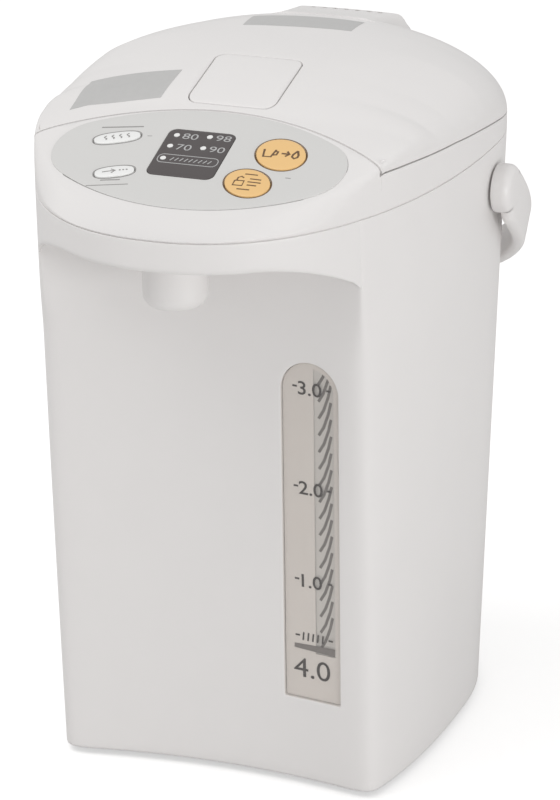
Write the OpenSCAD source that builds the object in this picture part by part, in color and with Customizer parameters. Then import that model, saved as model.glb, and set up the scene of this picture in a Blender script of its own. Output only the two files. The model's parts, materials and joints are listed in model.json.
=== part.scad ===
// Electric thermo pot: swivel base, tapered elliptical body, control head, domed lid,
// bail handle, inner container, heater, pump and dispensing path.
// Millimetres. Origin on the table under the container axis, +Z up, spout towards -Y.

/* [Whole pot] */
// height of the seam between body and head
seam_z = 302.7; // [301.5:0.1:304]
// gap between the table and the body's lower rim
rim_z = 3; // [2.8:0.1:3.4]
// wall of the moulded shells
wall = 2.5; // [2.2:0.1:2.8]

/* [Body] */
// half width of the body at the seam
top_a = 104.4; // [103.8:0.1:104.6]
// half width of the body at the table
foot_a = 93.6; // [92:0.2:95]
// how far the concave front stands back at the table, on the centre line
front_y = 98.5; // [97:0.1:99]
// hollow of the front face, centre to corner
front_hollow = 8.5; // [7:0.1:10]
// height of the arch over the cup space
arch_z = 287; // [286:0.2:288]

/* [Lid] */
// highest point of the dome on the centre line
dome_z = 351.5; // [350.5:0.1:352.5]
// gap along the seam between lid and head
lid_gap = 0.8; // [0.7:0.05:0.9]
// height of the lid hinge axis
hinge_z = 316; // [315.5:0.1:316.5]
// distance of the lid hinge axis behind the container axis
hinge_y = 104; // [103.5:0.1:104]

/* [Handle] */
// height of the handle pivots
pivot_z = 280.6; // [278:0.2:281]
// distance of the handle pivots behind the container axis
pivot_y = 14; // [10:0.2:15]
// gap between the resting grip and the back of the body
handle_gap = 2; // [1.6:0.1:6]
// angle of the resting handle below level
handle_rest = 36.5; // [34:0.5:40]

/* [Container] */
// inner radius of the steel container
can_r = 74; // [72:0.2:74.4]
// height of the container floor
can_floor_z = 62; // [60:0.2:64]
// height of the container rim
can_rim_z = 297; // [296.6:0.1:297.2]

/* [Level gauge] */
// width of the gauge window
gauge_w = 30; // [28:0.2:31]
// height of the gauge window above the table, lower edge
gauge_low = 48; // [46:0.2:50]
// height of the gauge window above the table, top of the arch
gauge_top = 226; // [220:0.5:228]

/* [Hidden] */
$fn = 48;
eps = 0.01;
top_front = 190.8;
top_back = 98.9;
top_c = 10.6;
foot_front = 181.8;
foot_back = 97.3;
foot_c = 1;
lean = 0.043;
gauge_x = 51;
// lean of the gauge window in the plane of the face
gauge_lean = 0.7;
panel_slope = 0.35;
panel_y0 = -135;
panel_z0 = 315.97;
panel_angle = atan(panel_slope);
// the panel's eye shape: its far and near edges on the centre line, their radii, and its tips
panel_far = -80.7;
panel_far_r = 118;
panel_near = -152.8;
panel_near_r = 112;
panel_half = 72.6;
tip_r = 24;
// buttons on the panel: half length, half height and turn in the panel's plane
dispense_size = [13.2, 10.8, -36];
unlock_size = [12, 9.6, -31];
boil_size = [11.1, 4.2, 21];
select_size = [9.4, 4.1, 20];
display_size = [33.2, 36.2];
arc_front = -80;
arc_bow = 0.0037;
lever_half = 22;
lever_front = -75.5;
lever_back = -31.5;
lever_axis_y = -74.7;
lever_axis_z = 335.5;
valve_x = 57.75;
valve_y = -102;
pump_x = 38;
pump_y = -38;
// the level tube's foot, seen from the pump
feed_run = norm([58.8 - pump_x, -96.65 - pump_y]);
feed_angle = atan2(-96.65 - pump_y, 58.8 - pump_x);
spout_y = -147;
spout_z = arch_z - 25.6;
button_rise = 1;
button_travel = 0.8;
grip_half = 10;
hub_r = 12.5;
bow_power = 2.3;
// from the pivots to the inside of the grip, so that its lower edge clears the back
grip_back = mix(foot_c + foot_back, top_c + top_back, (pivot_z - 75) / seam_z);
handle_reach = (grip_back + handle_gap - pivot_y) / cos(handle_rest) + grip_half * tan(handle_rest);

// ---------------------------------------------------------------- outlines

function mix(p, q, k) = p + (q - p) * k;

// radius of a rounded outline about its widest line, angle 0 pointing to the front
function outline_r(t, a, front, back, n) =
  let (b = cos(t) > 0 ? front : back)
  pow(pow(abs(sin(t)) / a, n) + pow(abs(cos(t)) / b, n), -1 / n);

// tower outline radius at height z, inset by the wall
function tower_r(t, z, inset) =
  let (k = z / seam_z)
  outline_r(t, mix(foot_a, top_a, k) - inset, mix(foot_front, top_front, k) - inset,
    mix(foot_back, top_back, k) - inset, mix(2.42, 2.25, k));

function tower_c(z) = mix(foot_c, top_c, z / seam_z);

// depth of the concave front face
function front_face(x, z, inset) =
  -front_y - lean * z - front_hollow * pow(x / 79, 2) + inset;

// radius at which a ray from the middle meets the concave face
function face_r(t, z, inset) =
  let (q = front_hollow * pow(sin(t) / 79, 2), l = -cos(t),
    m = tower_c(z) + front_y + lean * z - inset)
  cos(t) < 0.02 ? 900 :
  q < 0.0000001 ? m / cos(t) :
  let (d = l * l - 4 * q * m)
  d <= 0 ? 900 : (-l - sqrt(d)) / (2 * q);

// the two radii blended so that the front corners are rounded
function blend_r(a, b) = a < 0.8 * b ? a : a * pow(1 + pow(a / b, 28), -1 / 28);

function section(z, inset, scooped, count) =
  [for (i = [0 : count - 1])
    let (t = 360 * i / count, a = tower_r(t, z, inset),
      r = scooped ? blend_r(a, face_r(t, z, inset)) : a)
    [r * sin(t), tower_c(z) - r * cos(t)]];

// skin over a stack of sections
module loft(levels, inset, scooped, count) {
  n = len(levels);
  skin = [for (z = levels) for (p = section(z, inset, scooped, count)) [p[0], p[1], z]];
  pts = concat(skin, [[0, 0, levels[0]], [0, 0, levels[n - 1]]]);
  floor_faces = [for (i = [0 : count - 1]) [n * count, i, (i + 1) % count]];
  top = (n - 1) * count;
  roof_faces = [for (i = [0 : count - 1]) [n * count + 1, top + (i + 1) % count, top + i]];
  sides = [for (j = [0 : n - 2]) for (i = [0 : count - 1])
    let (k = (i + 1) % count)
    [j * count + i, (j + 1) * count + i, (j + 1) * count + k, j * count + k]];
  polyhedron(points = pts, faces = concat(floor_faces, sides, roof_faces), convexity = 6);
}

// arch-topped space in front of the body, for the cup
module cup_space(grow) {
  half = 45;
  spring = arch_z - 33;
  arc = [for (i = [0 : 10]) [half + 40.5 * cos(i * 9), spring + (33 + grow) * sin(i * 9)]];
  mirrored = [for (i = [10 : -1 : 0]) [-arc[i][0], arc[i][1]]];
  legs = [[-arc[0][0], -10], [arc[0][0], -10]];
  difference() {
    translate([0, -60, 0])
      rotate([90, 0, 0])
        linear_extrude(200)
          polygon(concat(arc, mirrored, legs));
    front_block(grow);
  }
}

// everything behind the concave front face
module front_block(grow) {
  xs = [for (i = [-13 : 13]) i * 10];
  n = len(xs);
  pts = concat(
    [for (x = xs) [x, front_face(x, -20, grow), -20]],
    [for (x = xs) [x, front_face(x, 340, grow), 340]],
    [for (x = xs) [x, 200, -20]],
    [for (x = xs) [x, 200, 340]]);
  strips = [for (i = [0 : n - 2])
    each [[i, n + i, n + i + 1, i + 1],
      [2 * n + i, 2 * n + i + 1, 3 * n + i + 1, 3 * n + i],
      [i, i + 1, 2 * n + i + 1, 2 * n + i],
      [n + i, 3 * n + i, 3 * n + i + 1, n + i + 1]]];
  ends = [[0, 2 * n, 3 * n, n], [n - 1, 2 * n - 1, 4 * n - 1, 3 * n - 1]];
  polyhedron(points = pts, faces = concat(strips, ends), convexity = 4);
}

// keeps a sculpted wall as one skin
module moulded() {
  resize([0, 0, 0])
    children();
}

module body_solid(inset, low, high) {
  spring = arch_z - 33;
  loft([low, 90, 180, spring], inset, true, 88);
  difference() {
    loft([spring, high], inset, false, 88);
    cup_space(inset);
  }
}

// ---------------------------------------------------------------- head surface

// half width of the head outline at depth y
function half_width(y, inset) =
  let (b = (y < top_c ? top_front : top_back) - inset, q = min(abs(y - top_c) / b, 1))
  (top_a - inset) * pow(max(1 - pow(q, 2.25), 0), 1 / 2.25);

// height of the seam line round the side of the head
seam_line = [[-181, 305], [-150, 308], [-135, 312], [-114, 318.5], [-105, 320.8],
  [-86, 320.5], [-43, 318.7], [-10, 316], [16, 313.5], [60, 308.5], [90, 306], [110, 305.5]];
function edge_z(y) = lookup(y, seam_line);

// height of the head on the centre line
function centre_z(y) =
  y < -153.2 ? 309.6 + (y + 153.2) * 0.2 :
  y < -80.2 ? panel_z0 + panel_slope * (y - panel_y0) :
  y < 10 ? dome_z - (dome_z - 335.15) * pow((10 - y) / 90.2, 2.6) :
  306 + (dome_z - 306) * pow(max(1 - pow((y - 10) / 99.6, 2.4), 0), 0.5);

// squareness of the cross-section
function crown(y) = lookup(y, [[-181, 2.6], [-160, 2.8], [-142, 4.5], [-126, 7], [-100, 7], [-80, 4],
  [-60, 2.4], [-40, 2.2], [0, 2.5], [40, 2.1], [110, 2]]);

function head_z(x, y) =
  let (w = half_width(y, 0), s = min(abs(x) / w, 1), e = min(edge_z(y), centre_z(y) - 0.3), p = crown(y))
  e + (centre_z(y) - e) * pow(max(1 - pow(s, p), 0), 1 / p);

// solid under the head surface, inset and lowered, from z_low up
module head_solid(inset, drop, z_low) {
  rows = 26;
  cols = 22;
  ys = [for (i = [0 : rows])
    let (u = -1 + 2 * i / rows, v = u < 0 ? 87.3 * u : 84 * u)
    top_c + ((u < 0 ? top_front : top_back) - inset) * sin(v)];
  ss = [for (j = [0 : cols]) sin(-90 + 180 * j / cols)];
  top = [for (y = ys) for (s = ss)
    let (w = half_width(y, inset), w0 = half_width(y, 0), x = s * w)
    [x, y, max(head_z(min(abs(x), w0 - 0.001), y) - drop, z_low + 0.2)]];
  m = cols + 1;
  low_l = [for (y = ys) [-half_width(y, inset), y, z_low]];
  low_r = [for (y = ys) [half_width(y, inset), y, z_low]];
  base = m * (rows + 1);
  pts = concat(top, low_l, low_r);
  skin = [for (i = [0 : rows - 1]) for (j = [0 : cols - 1])
    [i * m + j, (i + 1) * m + j, (i + 1) * m + j + 1, i * m + j + 1]];
  left = [for (i = [0 : rows - 1])
    [i * m, base + i, base + i + 1, (i + 1) * m]];
  right = [for (i = [0 : rows - 1])
    [i * m + cols, (i + 1) * m + cols, base + rows + 1 + i + 1, base + rows + 1 + i]];
  floor_faces = [for (i = [0 : rows - 1])
    [base + i, base + rows + 1 + i, base + rows + 2 + i, base + i + 1]];
  front_end = concat([for (j = [0 : cols]) j], [base + rows + 1, base]);
  back_end = concat([for (j = [cols : -1 : 0]) rows * m + j], [base + rows, base + 2 * rows + 1]);
  polyhedron(points = pts, faces = concat(skin, left, right, floor_faces, [front_end, back_end]),
    convexity = 6);
}

// flat outline of the head, inset
module head_outline(inset) {
  polygon([for (i = [0 : 95])
    let (t = 360 * i / 96, r = outline_r(t, top_a - inset, top_front - inset, top_back - inset, 2.25))
    [r * sin(t), top_c - r * cos(t)]]);
}

// plan region behind the lid's front arc, moved back by shift
module behind_arc(shift) {
  front = [for (i = [-12 : 12]) [i * 10, arc_front + shift - arc_bow * pow(i * 10, 2)]];
  polygon(concat(front, [[120, 140], [-120, 140]]));
}

// region above the side seam, raised by lift
module above_seam(lift) {
  line = [for (k = seam_line) [k[0], k[1] + lift]];
  rotate([90, 0, 90])
    translate([0, 0, -130])
      linear_extrude(260)
        polygon(concat([[-200, 305 + lift]], line, [[130, 305.5 + lift], [130, 400], [-200, 400]]));
}

module slab(z_low, z_high) {
  translate([0, 0, z_low])
    linear_extrude(z_high - z_low)
      children();
}

// ---------------------------------------------------------------- panel helpers

module on_panel() {
  translate([0, panel_y0, panel_z0])
    rotate([panel_angle, 0, 0])
      children();
}

function panel_v(y) = (y - panel_y0) / cos(panel_angle);

// points along an arc, its first point left out
function arc_points(x, y, r, from, to, n) =
  [for (i = [1 : n]) let (a = mix(from, to, i / n)) [x + r * cos(a), y + r * sin(a)]];

// two wide arcs with rounded tips
module eye_shape(shrink) {
  r = tip_r - shrink;
  tip = panel_half - tip_r;
  far_y = panel_v(panel_far) - panel_far_r;
  near_y = panel_v(panel_near) + panel_near_r;
  far_tip = far_y + sqrt(pow(panel_far_r - tip_r, 2) - tip * tip);
  near_tip = near_y - sqrt(pow(panel_near_r - tip_r, 2) - tip * tip);
  a = atan2(far_tip - far_y, tip);
  b = atan2(near_y - near_tip, tip);
  polygon(concat(
    arc_points(tip, near_tip, r, -b, 0, 6),
    arc_points(tip, far_tip, r, 0, a, 6),
    arc_points(0, far_y, panel_far_r - shrink, a, 180 - a, 30),
    arc_points(-tip, far_tip, r, 180 - a, 180, 6),
    arc_points(-tip, near_tip, r, 180, 180 + b, 6),
    arc_points(0, near_y, panel_near_r - shrink, 180 + b, 360 - b, 30)));
}

module oval(half_w, half_h) {
  scale_y = half_h / half_w;
  polygon([for (i = [0 : 47]) [half_w * cos(i * 7.5), half_w * scale_y * sin(i * 7.5)]]);
}

module round_rect(w, h, r) {
  for (sx = [-1, 1], sy = [-1, 1])
    translate([sx * (w / 2 - r), sy * (h / 2 - r)])
      circle(r = r, $fn = 32);
  square([w - 2 * r, h], center = true);
  square([w, h - 2 * r], center = true);
}

dispense_at = [38, panel_v(-107.6)];
unlock_at = [29.8, panel_v(-130.1)];
boil_at = [-44.3, panel_v(-107.1)];
select_at = [-35.7, panel_v(-131.7)];
display_at = [-4.4, panel_v(-113.4)];

// outline of a button, grown all round
module button_plan(at, size, grow) {
  translate(at)
    rotate(size[2])
      oval(size[0] + grow, size[1] + grow);
}

// a push button: cap above the panel, flange and stem below
module push_button(at, size) {
  on_panel() {
    translate([0, 0, -3.6])
      linear_extrude(3.6 + button_rise - 0.3)
        button_plan(at, size, 0);
    translate([0, 0, button_rise - 0.3])
      linear_extrude(0.3)
        button_plan(at, size, -0.5);
    translate([0, 0, -4.4])
      linear_extrude(1)
        button_plan(at, size, 0.9);
    translate([at[0], at[1], -6.4])
      cylinder(r = 2, h = 3);
  }
}

module button_holes(grow, top, bottom) {
  on_panel()
    translate([0, 0, -bottom])
      linear_extrude(bottom + top) {
        button_plan(dispense_at, dispense_size, grow);
        button_plan(unlock_at, unlock_size, grow);
        button_plan(boil_at, boil_size, grow);
        button_plan(select_at, select_size, grow);
      }
}

// ---------------------------------------------------------------- swivel base

module turntable() {
  color([0.86, 0.85, 0.84])
    difference() {
      union() {
        translate([0, 0, 1.4])
          cylinder(r = 70, h = 3.6, $fn = 96);
        translate([0, 0, 4])
          cylinder(r = 12, h = 10.2, $fn = 64);
        difference() {
          translate([0, 0, 4])
            cylinder(r = 66, h = 1.8, $fn = 96);
          translate([0, 0, 3])
            cylinder(r = 60, h = 4, $fn = 96);
        }
      }
      translate([0, 0, 4.8])
        cylinder(r = 2.1, h = 20);
      translate([0, 0, 1])
        difference() {
          cylinder(r = 56, h = 1.8, $fn = 96);
          translate([0, 0, -1])
            cylinder(r = 16, h = 6);
        }
    }
}

module turntable_feet() {
  color([0.3, 0.3, 0.31]) {
    for (a = [45 : 90 : 315])
      rotate([0, 0, a])
        translate([62, 0, 0])
          cylinder(r = 5, h = 1.4);
    cylinder(r = 10, h = 1.4);
  }
}

module swivel_washer() {
  color([0.75, 0.76, 0.78])
    difference() {
      translate([0, 0, 14.3])
        cylinder(r = 17, h = 1.2);
      translate([0, 0, 14])
        cylinder(r = 2.2, h = 3);
    }
}

module swivel_screw() {
  color([0.7, 0.71, 0.73]) {
    translate([0, 0, 5])
      cylinder(r = 2.05, h = 11);
    translate([0, 0, 15.55])
      cylinder(r = 4, h = 2.4);
  }
}

// ---------------------------------------------------------------- body

module gauge_frame() {
  translate([gauge_x, front_face(gauge_x, 0, 0), 0])
    rotate([atan(lean), 0, -7.9])
      children();
}

// arch-topped outline of the level gauge, drawn in x and z
module gauge_outline(grow) {
  low = gauge_low - grow;
  spring = gauge_top - gauge_w / 2;
  translate([0, gauge_low])
    rotate(-gauge_lean)
      translate([0, -gauge_low]) {
        translate([0, spring])
          circle(r = gauge_w / 2 + grow, $fn = 64);
        translate([-gauge_w / 2 - grow, low])
          square([gauge_w + 2 * grow, spring - low]);
      }
}

module gauge_cut(grow, front, depth) {
  gauge_frame()
    translate([0, depth, 0])
      rotate([90, 0, 0])
        linear_extrude(depth + front)
          gauge_outline(grow);
}

module body_shell() {
  color([0.93, 0.92, 0.91])
    difference() {
      moulded()
        difference() {
          body_solid(0, rim_z, seam_z - 0.5);
          body_solid(wall, rim_z - 1, seam_z + 1);
          gauge_cut(0.3, 20, 12);
        }
      // spout hole through the roof of the cup space
      translate([0, spout_y, arch_z - 1])
        cylinder(r = 7.3, h = 8);
      // handle pins
      for (s = [-1, 1])
        translate([s * 104, pivot_y, pivot_z])
          rotate([0, 90, 0])
            cylinder(r = 6.2, h = 20, center = true);
      // rear socket
      translate([0, 90, 40])
        cube([46, 40, 30], center = true);
    }
}

module bottom_plate() {
  color([0.8, 0.79, 0.78])
    difference() {
      union() {
        translate([0, 0, 6.4])
          loft_plate(3.2, 9);
        translate([0, 0, 6.4])
          cylinder(r = 18.5, h = 7.6, $fn = 64);
        for (p = screw_points)
          translate([p[0], p[1], 6.4])
            cylinder(r = 5, h = 7);
      }
      translate([0, 0, 6])
        cylinder(r = 12.05, h = 12, $fn = 64);
      for (p = screw_points)
        translate([p[0], p[1], 0])
          cylinder(r = 1.9, h = 20);
      for (p = screw_points)
        translate([p[0], p[1], 6])
          cylinder(r = 3.6, h = 2.4);
    }
}

module loft_plate(inset, z) {
  linear_extrude(2.6)
    polygon(section(z, inset, true, 88));
}

screw_points = [[-62, -70], [62, -70], [-62, 62], [62, 62]];

module bottom_screws() {
  color([0.7, 0.71, 0.73])
    for (p = screw_points)
      translate([p[0], p[1], 0]) {
        translate([0, 0, 6.6])
          cylinder(r = 3.4, h = 1.7);
        translate([0, 0, 8.2])
          cylinder(r = 1.8, h = 9);
      }
}

module glide_pads() {
  color([0.9, 0.9, 0.9])
    for (a = [0 : 60 : 300])
      rotate([0, 0, a])
        translate([63, 0, 5.9])
          cylinder(r = 3, h = 0.45);
}

module gauge_window() {
  color([0.88, 0.9, 0.92, 0.4])
    gauge_frame()
      translate([0, 2.2, 0])
        rotate([90, 0, 0]) {
          linear_extrude(2)
            gauge_outline(0);
        }
}

// a slab of the gauge's outline between two depths behind the front face
module gauge_layer(grow, front, back) {
  translate([0, back, 0])
    rotate([90, 0, 0])
      linear_extrude(back - front)
        gauge_outline(grow);
}

// tray behind the window that carries the scale
module gauge_plate() {
  color([0.75, 0.75, 0.76])
    gauge_frame()
      difference() {
        union() {
          gauge_layer(0.2, 2.25, 16);
          gauge_layer(3, wall + 0.4, wall + 2);
        }
        gauge_layer(-1.4, 0, 15);
        translate([7, 9, 30])
          cylinder(r = 5.2, h = 230);
      }
}

module level_tube() {
  color([0.9, 0.92, 0.94, 0.4])
    gauge_frame()
      translate([7, 9, 0])
        difference() {
          translate([0, 0, 60])
            cylinder(r = 4.6, h = 180);
          translate([0, 0, 59])
            cylinder(r = 3.4, h = 182);
        }
}

// ---------------------------------------------------------------- dispensing path

module spout() {
  color([0.93, 0.92, 0.91])
    difference() {
      union() {
        translate([0, spout_y, spout_z + 6])
          cylinder(r = 15.2, h = arch_z - spout_z - 6.2, $fn = 72);
        translate([0, spout_y, spout_z + 6])
          rotate_extrude($fn = 72)
            intersection() {
              union() {
                translate([9.2, 0])
                  circle(r = 6, $fn = 48);
                translate([0, -6])
                  square([9.2, 6]);
              }
              translate([0, -7])
                square([20, 7.01]);
            }
        translate([0, spout_y, arch_z - 1])
          cylinder(r = 7, h = 4.8);
      }
      translate([0, spout_y, 240])
        cylinder(r = 4.5, h = 60);
      translate([0, spout_y, spout_z - 4])
        cylinder(r = 8, h = 8);
    }
}

module outlet_pipe() {
  color([0.9, 0.9, 0.88])
    difference() {
      union() {
        translate([0, spout_y, arch_z + 6])
          cylinder(r = 6, h = 4);
        rod([0, spout_y, 296], [valve_x, valve_y, 296], 5);
        translate([0, spout_y, 296])
          sphere(r = 6);
      }
      translate([0, spout_y, arch_z])
        cylinder(r = 3.5, h = 9);
      rod([0, spout_y, 296], [valve_x, valve_y, 296], 3.2);
      translate([valve_x, valve_y, 260])
        cylinder(r = 9.1, h = 60);
    }
}

module rod(p, q, r) {
  d = q - p;
  l = norm(d);
  translate(p)
    rotate([0, acos(d[2] / l), atan2(d[1], d[0])])
      cylinder(r = r, h = l);
}

module spill_valve() {
  color([0.85, 0.85, 0.83])
    difference() {
      translate([valve_x, valve_y, 270])
        cylinder(r = 9, h = 29);
      translate([valve_x, valve_y, 272])
        cylinder(r = 6.5, h = 25);
      translate([valve_x, valve_y, 268])
        cylinder(r = 3.4, h = 10);
      rod([0, spout_y, 296], [valve_x, valve_y, 296], 3.2);
    }
}

module valve_ball() {
  color([0.75, 0.76, 0.78])
    translate([valve_x, valve_y, 275.75])
      sphere(r = 5, $fn = 48);
}

module riser_hose() {
  color([0.9, 0.88, 0.85])
    difference() {
      rod([valve_x, -104.3, 240.8], [valve_x, valve_y, 269.6], 5);
      rod([valve_x, -104.46, 238.8], [valve_x, valve_y + 0.16, 271.6], 3.2);
    }
}

// level run from the pump, quarter bend, then up to the level tube
module feed_path(r, start, rise) {
  translate([pump_x, pump_y, 39])
    rotate([0, 0, feed_angle]) {
      translate([start, 0, 0])
        rotate([0, 90, 0])
          cylinder(r = r, h = feed_run - 10 - start);
      translate([feed_run - 10, 0, 10])
        rotate([90, 0, 0])
          rotate([0, 0, -90])
            rotate_extrude(angle = 90, $fn = 48)
              translate([10, 0])
                circle(r = r, $fn = 48);
      translate([feed_run, 0, 10])
        cylinder(r = r, h = rise);
    }
}

module feed_hose() {
  color([0.9, 0.88, 0.85])
    difference() {
      feed_path(4.6, 31.15, 10.8);
      feed_path(3.2, 30, 13);
    }
}

// ---------------------------------------------------------------- container and heating

module inner_collar() {
  color([0.88, 0.87, 0.86])
    difference() {
      slab(299.6, 301.8)
        intersection() {
          head_outline(3.1);
          behind_arc(1);
        }
      translate([0, 0, 290])
        cylinder(r = 79.6, h = 20, $fn = 120);
    }
}

module container() {
  color([0.78, 0.79, 0.8])
    difference() {
      rotate_extrude($fn = 120)
        difference() {
          union() {
            square([can_r + 1.2, can_rim_z - can_floor_z]);
            translate([0, can_rim_z - can_floor_z - 1.2])
              square([82, 1.2]);
          }
          translate([-1, 1.2])
            square([can_r + 1, can_rim_z]);
        }
      translate([pump_x, pump_y, -1])
        cylinder(r = 5, h = 6);
    }
}

module container_placed() {
  translate([0, 0, can_floor_z])
    container();
}

// seal between the container's flange and the collar
module container_gasket() {
  color([0.85, 0.82, 0.78])
    translate([0, 0, can_rim_z])
      rotate_extrude($fn = 120)
        translate([79.8, 0])
          square([2, 299.5 - can_rim_z]);
}

module insulation_sleeve() {
  color([0.72, 0.73, 0.74])
    translate([0, 0, can_floor_z + 4])
      rotate_extrude($fn = 96)
        translate([can_r + 1.5, 0])
          square([3.5, 222]);
}

module heater_ring() {
  color([0.5, 0.47, 0.4])
    translate([0, 0, can_floor_z - 7.4])
      rotate_extrude($fn = 96)
        translate([40, 3.6])
          circle(r = 3.4, $fn = 32);
}

module heater_plate() {
  color([0.76, 0.76, 0.78])
    difference() {
      translate([0, 0, can_floor_z - 3.2])
        cylinder(r = 66, h = 2.9, $fn = 96);
      translate([0, 0, can_floor_z - 7.4])
        rotate_extrude($fn = 96)
          translate([40, 3.6])
            circle(r = 3.7, $fn = 32);
      translate([pump_x, pump_y, 50])
        cylinder(r = 7.4, h = 20);
    }
}

module thermistor() {
  color([0.8, 0.75, 0.6])
    difference() {
      translate([0, 0, can_floor_z - 13.4])
        cylinder(r = 7, h = 10);
      translate([0, 0, can_floor_z - 14])
        cylinder(r = 4, h = 6);
    }
}

module thermal_fuse() {
  color([0.85, 0.8, 0.72]) {
    translate([-22, 0, can_floor_z - 5.6])
      rotate([90, 0, 0])
        cylinder(r = 2.2, h = 16, center = true);
    translate([-22, 0, can_floor_z - 5.6])
      rotate([90, 0, 0])
        cylinder(r = 0.5, h = 34, center = true);
  }
}

module pump_housing() {
  color([0.35, 0.35, 0.37])
    difference() {
      union() {
        translate([pump_x, pump_y, 33])
          cylinder(r = 19, h = 13);
        translate([pump_x, pump_y, 45])
          cylinder(r = 5.4, h = 7);
        translate([pump_x, pump_y, 39])
          rotate([0, 0, feed_angle])
            rotate([0, 90, 0])
              cylinder(r = 5, h = 31);
      }
      translate([pump_x, pump_y, 34.6])
        cylinder(r = 16.6, h = 9.6);
      translate([pump_x, pump_y, 30])
        cylinder(r = 3.1, h = 10);
      translate([pump_x, pump_y, 42])
        cylinder(r = 3.4, h = 20);
      translate([pump_x, pump_y, 39])
        rotate([0, 0, feed_angle])
          rotate([0, 90, 0])
            cylinder(r = 3, h = 34);
    }
}

module pump_impeller() {
  color([0.9, 0.9, 0.9]) {
    translate([pump_x, pump_y, 35.2])
      cylinder(r = 14.5, h = 1.6);
    translate([pump_x, pump_y, 22.5])
      cylinder(r = 2, h = 15);
    translate([pump_x, pump_y, 36])
      cylinder(r = 4, h = 6);
    for (a = [0 : 60 : 300])
      translate([pump_x, pump_y, 36])
        rotate([0, 0, a])
          translate([3, -0.6, 0])
            cube([11, 1.2, 6]);
  }
}

module pump_motor() {
  color([0.6, 0.61, 0.63])
    difference() {
      union() {
        translate([pump_x, pump_y, 15.4])
          cylinder(r = 14, h = 17.3);
        translate([pump_x, pump_y, 14.2])
          cylinder(r = 5, h = 2);
      }
      translate([pump_x, pump_y, 21])
        cylinder(r = 2.05, h = 20);
    }
}

module inlet_hose() {
  color([0.9, 0.88, 0.85])
    difference() {
      translate([pump_x, pump_y, 48.6])
        cylinder(r = 7, h = can_floor_z - 48.9);
      translate([pump_x, pump_y, 46])
        cylinder(r = 5.45, h = 6.1);
      translate([pump_x, pump_y, 46])
        cylinder(r = 3.4, h = 20);
    }
}

module power_board() {
  color([0.25, 0.45, 0.3]) {
    translate([-40, -10, 22])
      cube([50, 90, 1.6], center = true);
    for (p = [[-56, -48], [-24, -48], [-56, 28], [-24, 28]])
      translate([p[0], p[1], 9])
        cylinder(r = 3, h = 12.4);
  }
  color([0.2, 0.2, 0.22])
    translate([-40, -18, 29.9])
      cube([22, 26, 14.6], center = true);
}

module power_inlet() {
  color([0.85, 0.84, 0.83])
    difference() {
      translate([0, 86.6, 40])
        cube([45.2, 24, 29.2], center = true);
      translate([0, 96.6, 40])
        cube([36, 20, 20], center = true);
      for (s = [-1, 1])
        translate([s * 5, 84, 40])
          rotate([90, 0, 0])
            cylinder(r = 2.1, h = 20, center = true);
      for (s = [-1, 1])
        translate([s * 13, 85.6, 40])
          cube([6.2, 4.2, 14.2], center = true);
    }
}

module inlet_magnets() {
  color([0.55, 0.55, 0.57])
    for (s = [-1, 1])
      translate([s * 13, 85.6, 40])
        cube([6, 4, 14], center = true);
}

module inlet_pins() {
  color([0.8, 0.72, 0.45])
    for (s = [-1, 1])
      translate([s * 5, 82, 40])
        rotate([90, 0, 0])
          cylinder(r = 2, h = 20, center = true);
}

// ---------------------------------------------------------------- head

module head_ring() {
  color([0.93, 0.92, 0.91])
    moulded()
    difference() {
      head_solid(0, 0, seam_z);
      // room for the lid
      intersection() {
        slab(290, 400)
          behind_arc(0);
        union() {
          above_seam(0);
          slab(290, 400)
            head_outline(wall);
        }
      }
      // room under the control deck
      difference() {
        head_solid(wall, 4.2, seam_z - 1);
        slab(290, 400)
          behind_arc(-wall);
      }
      // seat of the control panel
      on_panel()
        translate([0, 0, -0.8])
          linear_extrude(20)
            eye_shape(0);
      button_holes(1.4, 2, 12);
      on_panel()
        translate([display_at[0], display_at[1], -12])
          linear_extrude(14)
            round_rect(display_size[0] - 3, display_size[1] - 4, 3);
    }
}

module control_panel() {
  color([0.82, 0.82, 0.83])
    difference() {
      on_panel()
        translate([0, 0, -0.75])
          linear_extrude(0.9)
            eye_shape(0.25);
      button_holes(0.35, 2, 3);
      on_panel()
        translate([display_at[0], display_at[1], -3])
          linear_extrude(6)
            round_rect(display_size[0] + 0.4, display_size[1] + 0.4, 4);
    }
}

module display_window() {
  color([0.3, 0.29, 0.29])
    difference() {
      on_panel()
        translate([display_at[0], display_at[1], -0.7])
          linear_extrude(1)
            round_rect(display_size[0], display_size[1], 3.9);
      lens_spots(1.45);
    }
}

lens_points = [[-12.1, 13.2], [4.2, 14.1], [-12.3, 4.5], [4.1, 5.1], [-12.2, -5.2]];

module lens_spots(r) {
  on_panel()
    for (p = lens_points)
      translate([display_at[0] + p[0], display_at[1] + p[1], -3])
        cylinder(r = r, h = 6);
}

module indicator_lenses() {
  color([0.95, 0.95, 0.93])
    on_panel()
      for (p = lens_points)
        translate([display_at[0] + p[0], display_at[1] + p[1], -3.4])
          cylinder(r = 1.4, h = 3.85);
}

module boil_button() {
  color([0.95, 0.95, 0.94])
    push_button(boil_at, boil_size);
}

module select_button() {
  color([0.95, 0.95, 0.94])
    push_button(select_at, select_size);
}

module dispense_button() {
  color([0.96, 0.72, 0.35])
    push_button(dispense_at, dispense_size);
}

module unlock_button() {
  color([0.96, 0.72, 0.35])
    push_button(unlock_at, unlock_size);
}

module control_board() {
  color([0.25, 0.45, 0.3])
    on_panel()
      translate([0, 0, -10.6])
        linear_extrude(1.4)
          intersection() {
            eye_shape(8);
            translate([0, 20])
              square([112, 46], center = true);
          }
  color([0.15, 0.15, 0.16])
    on_panel()
      for (p = [dispense_at, unlock_at, boil_at, select_at])
        translate([p[0], p[1], -8.4])
          cube([6, 6, 2], center = true);
}

// ---------------------------------------------------------------- lid hinge

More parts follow.
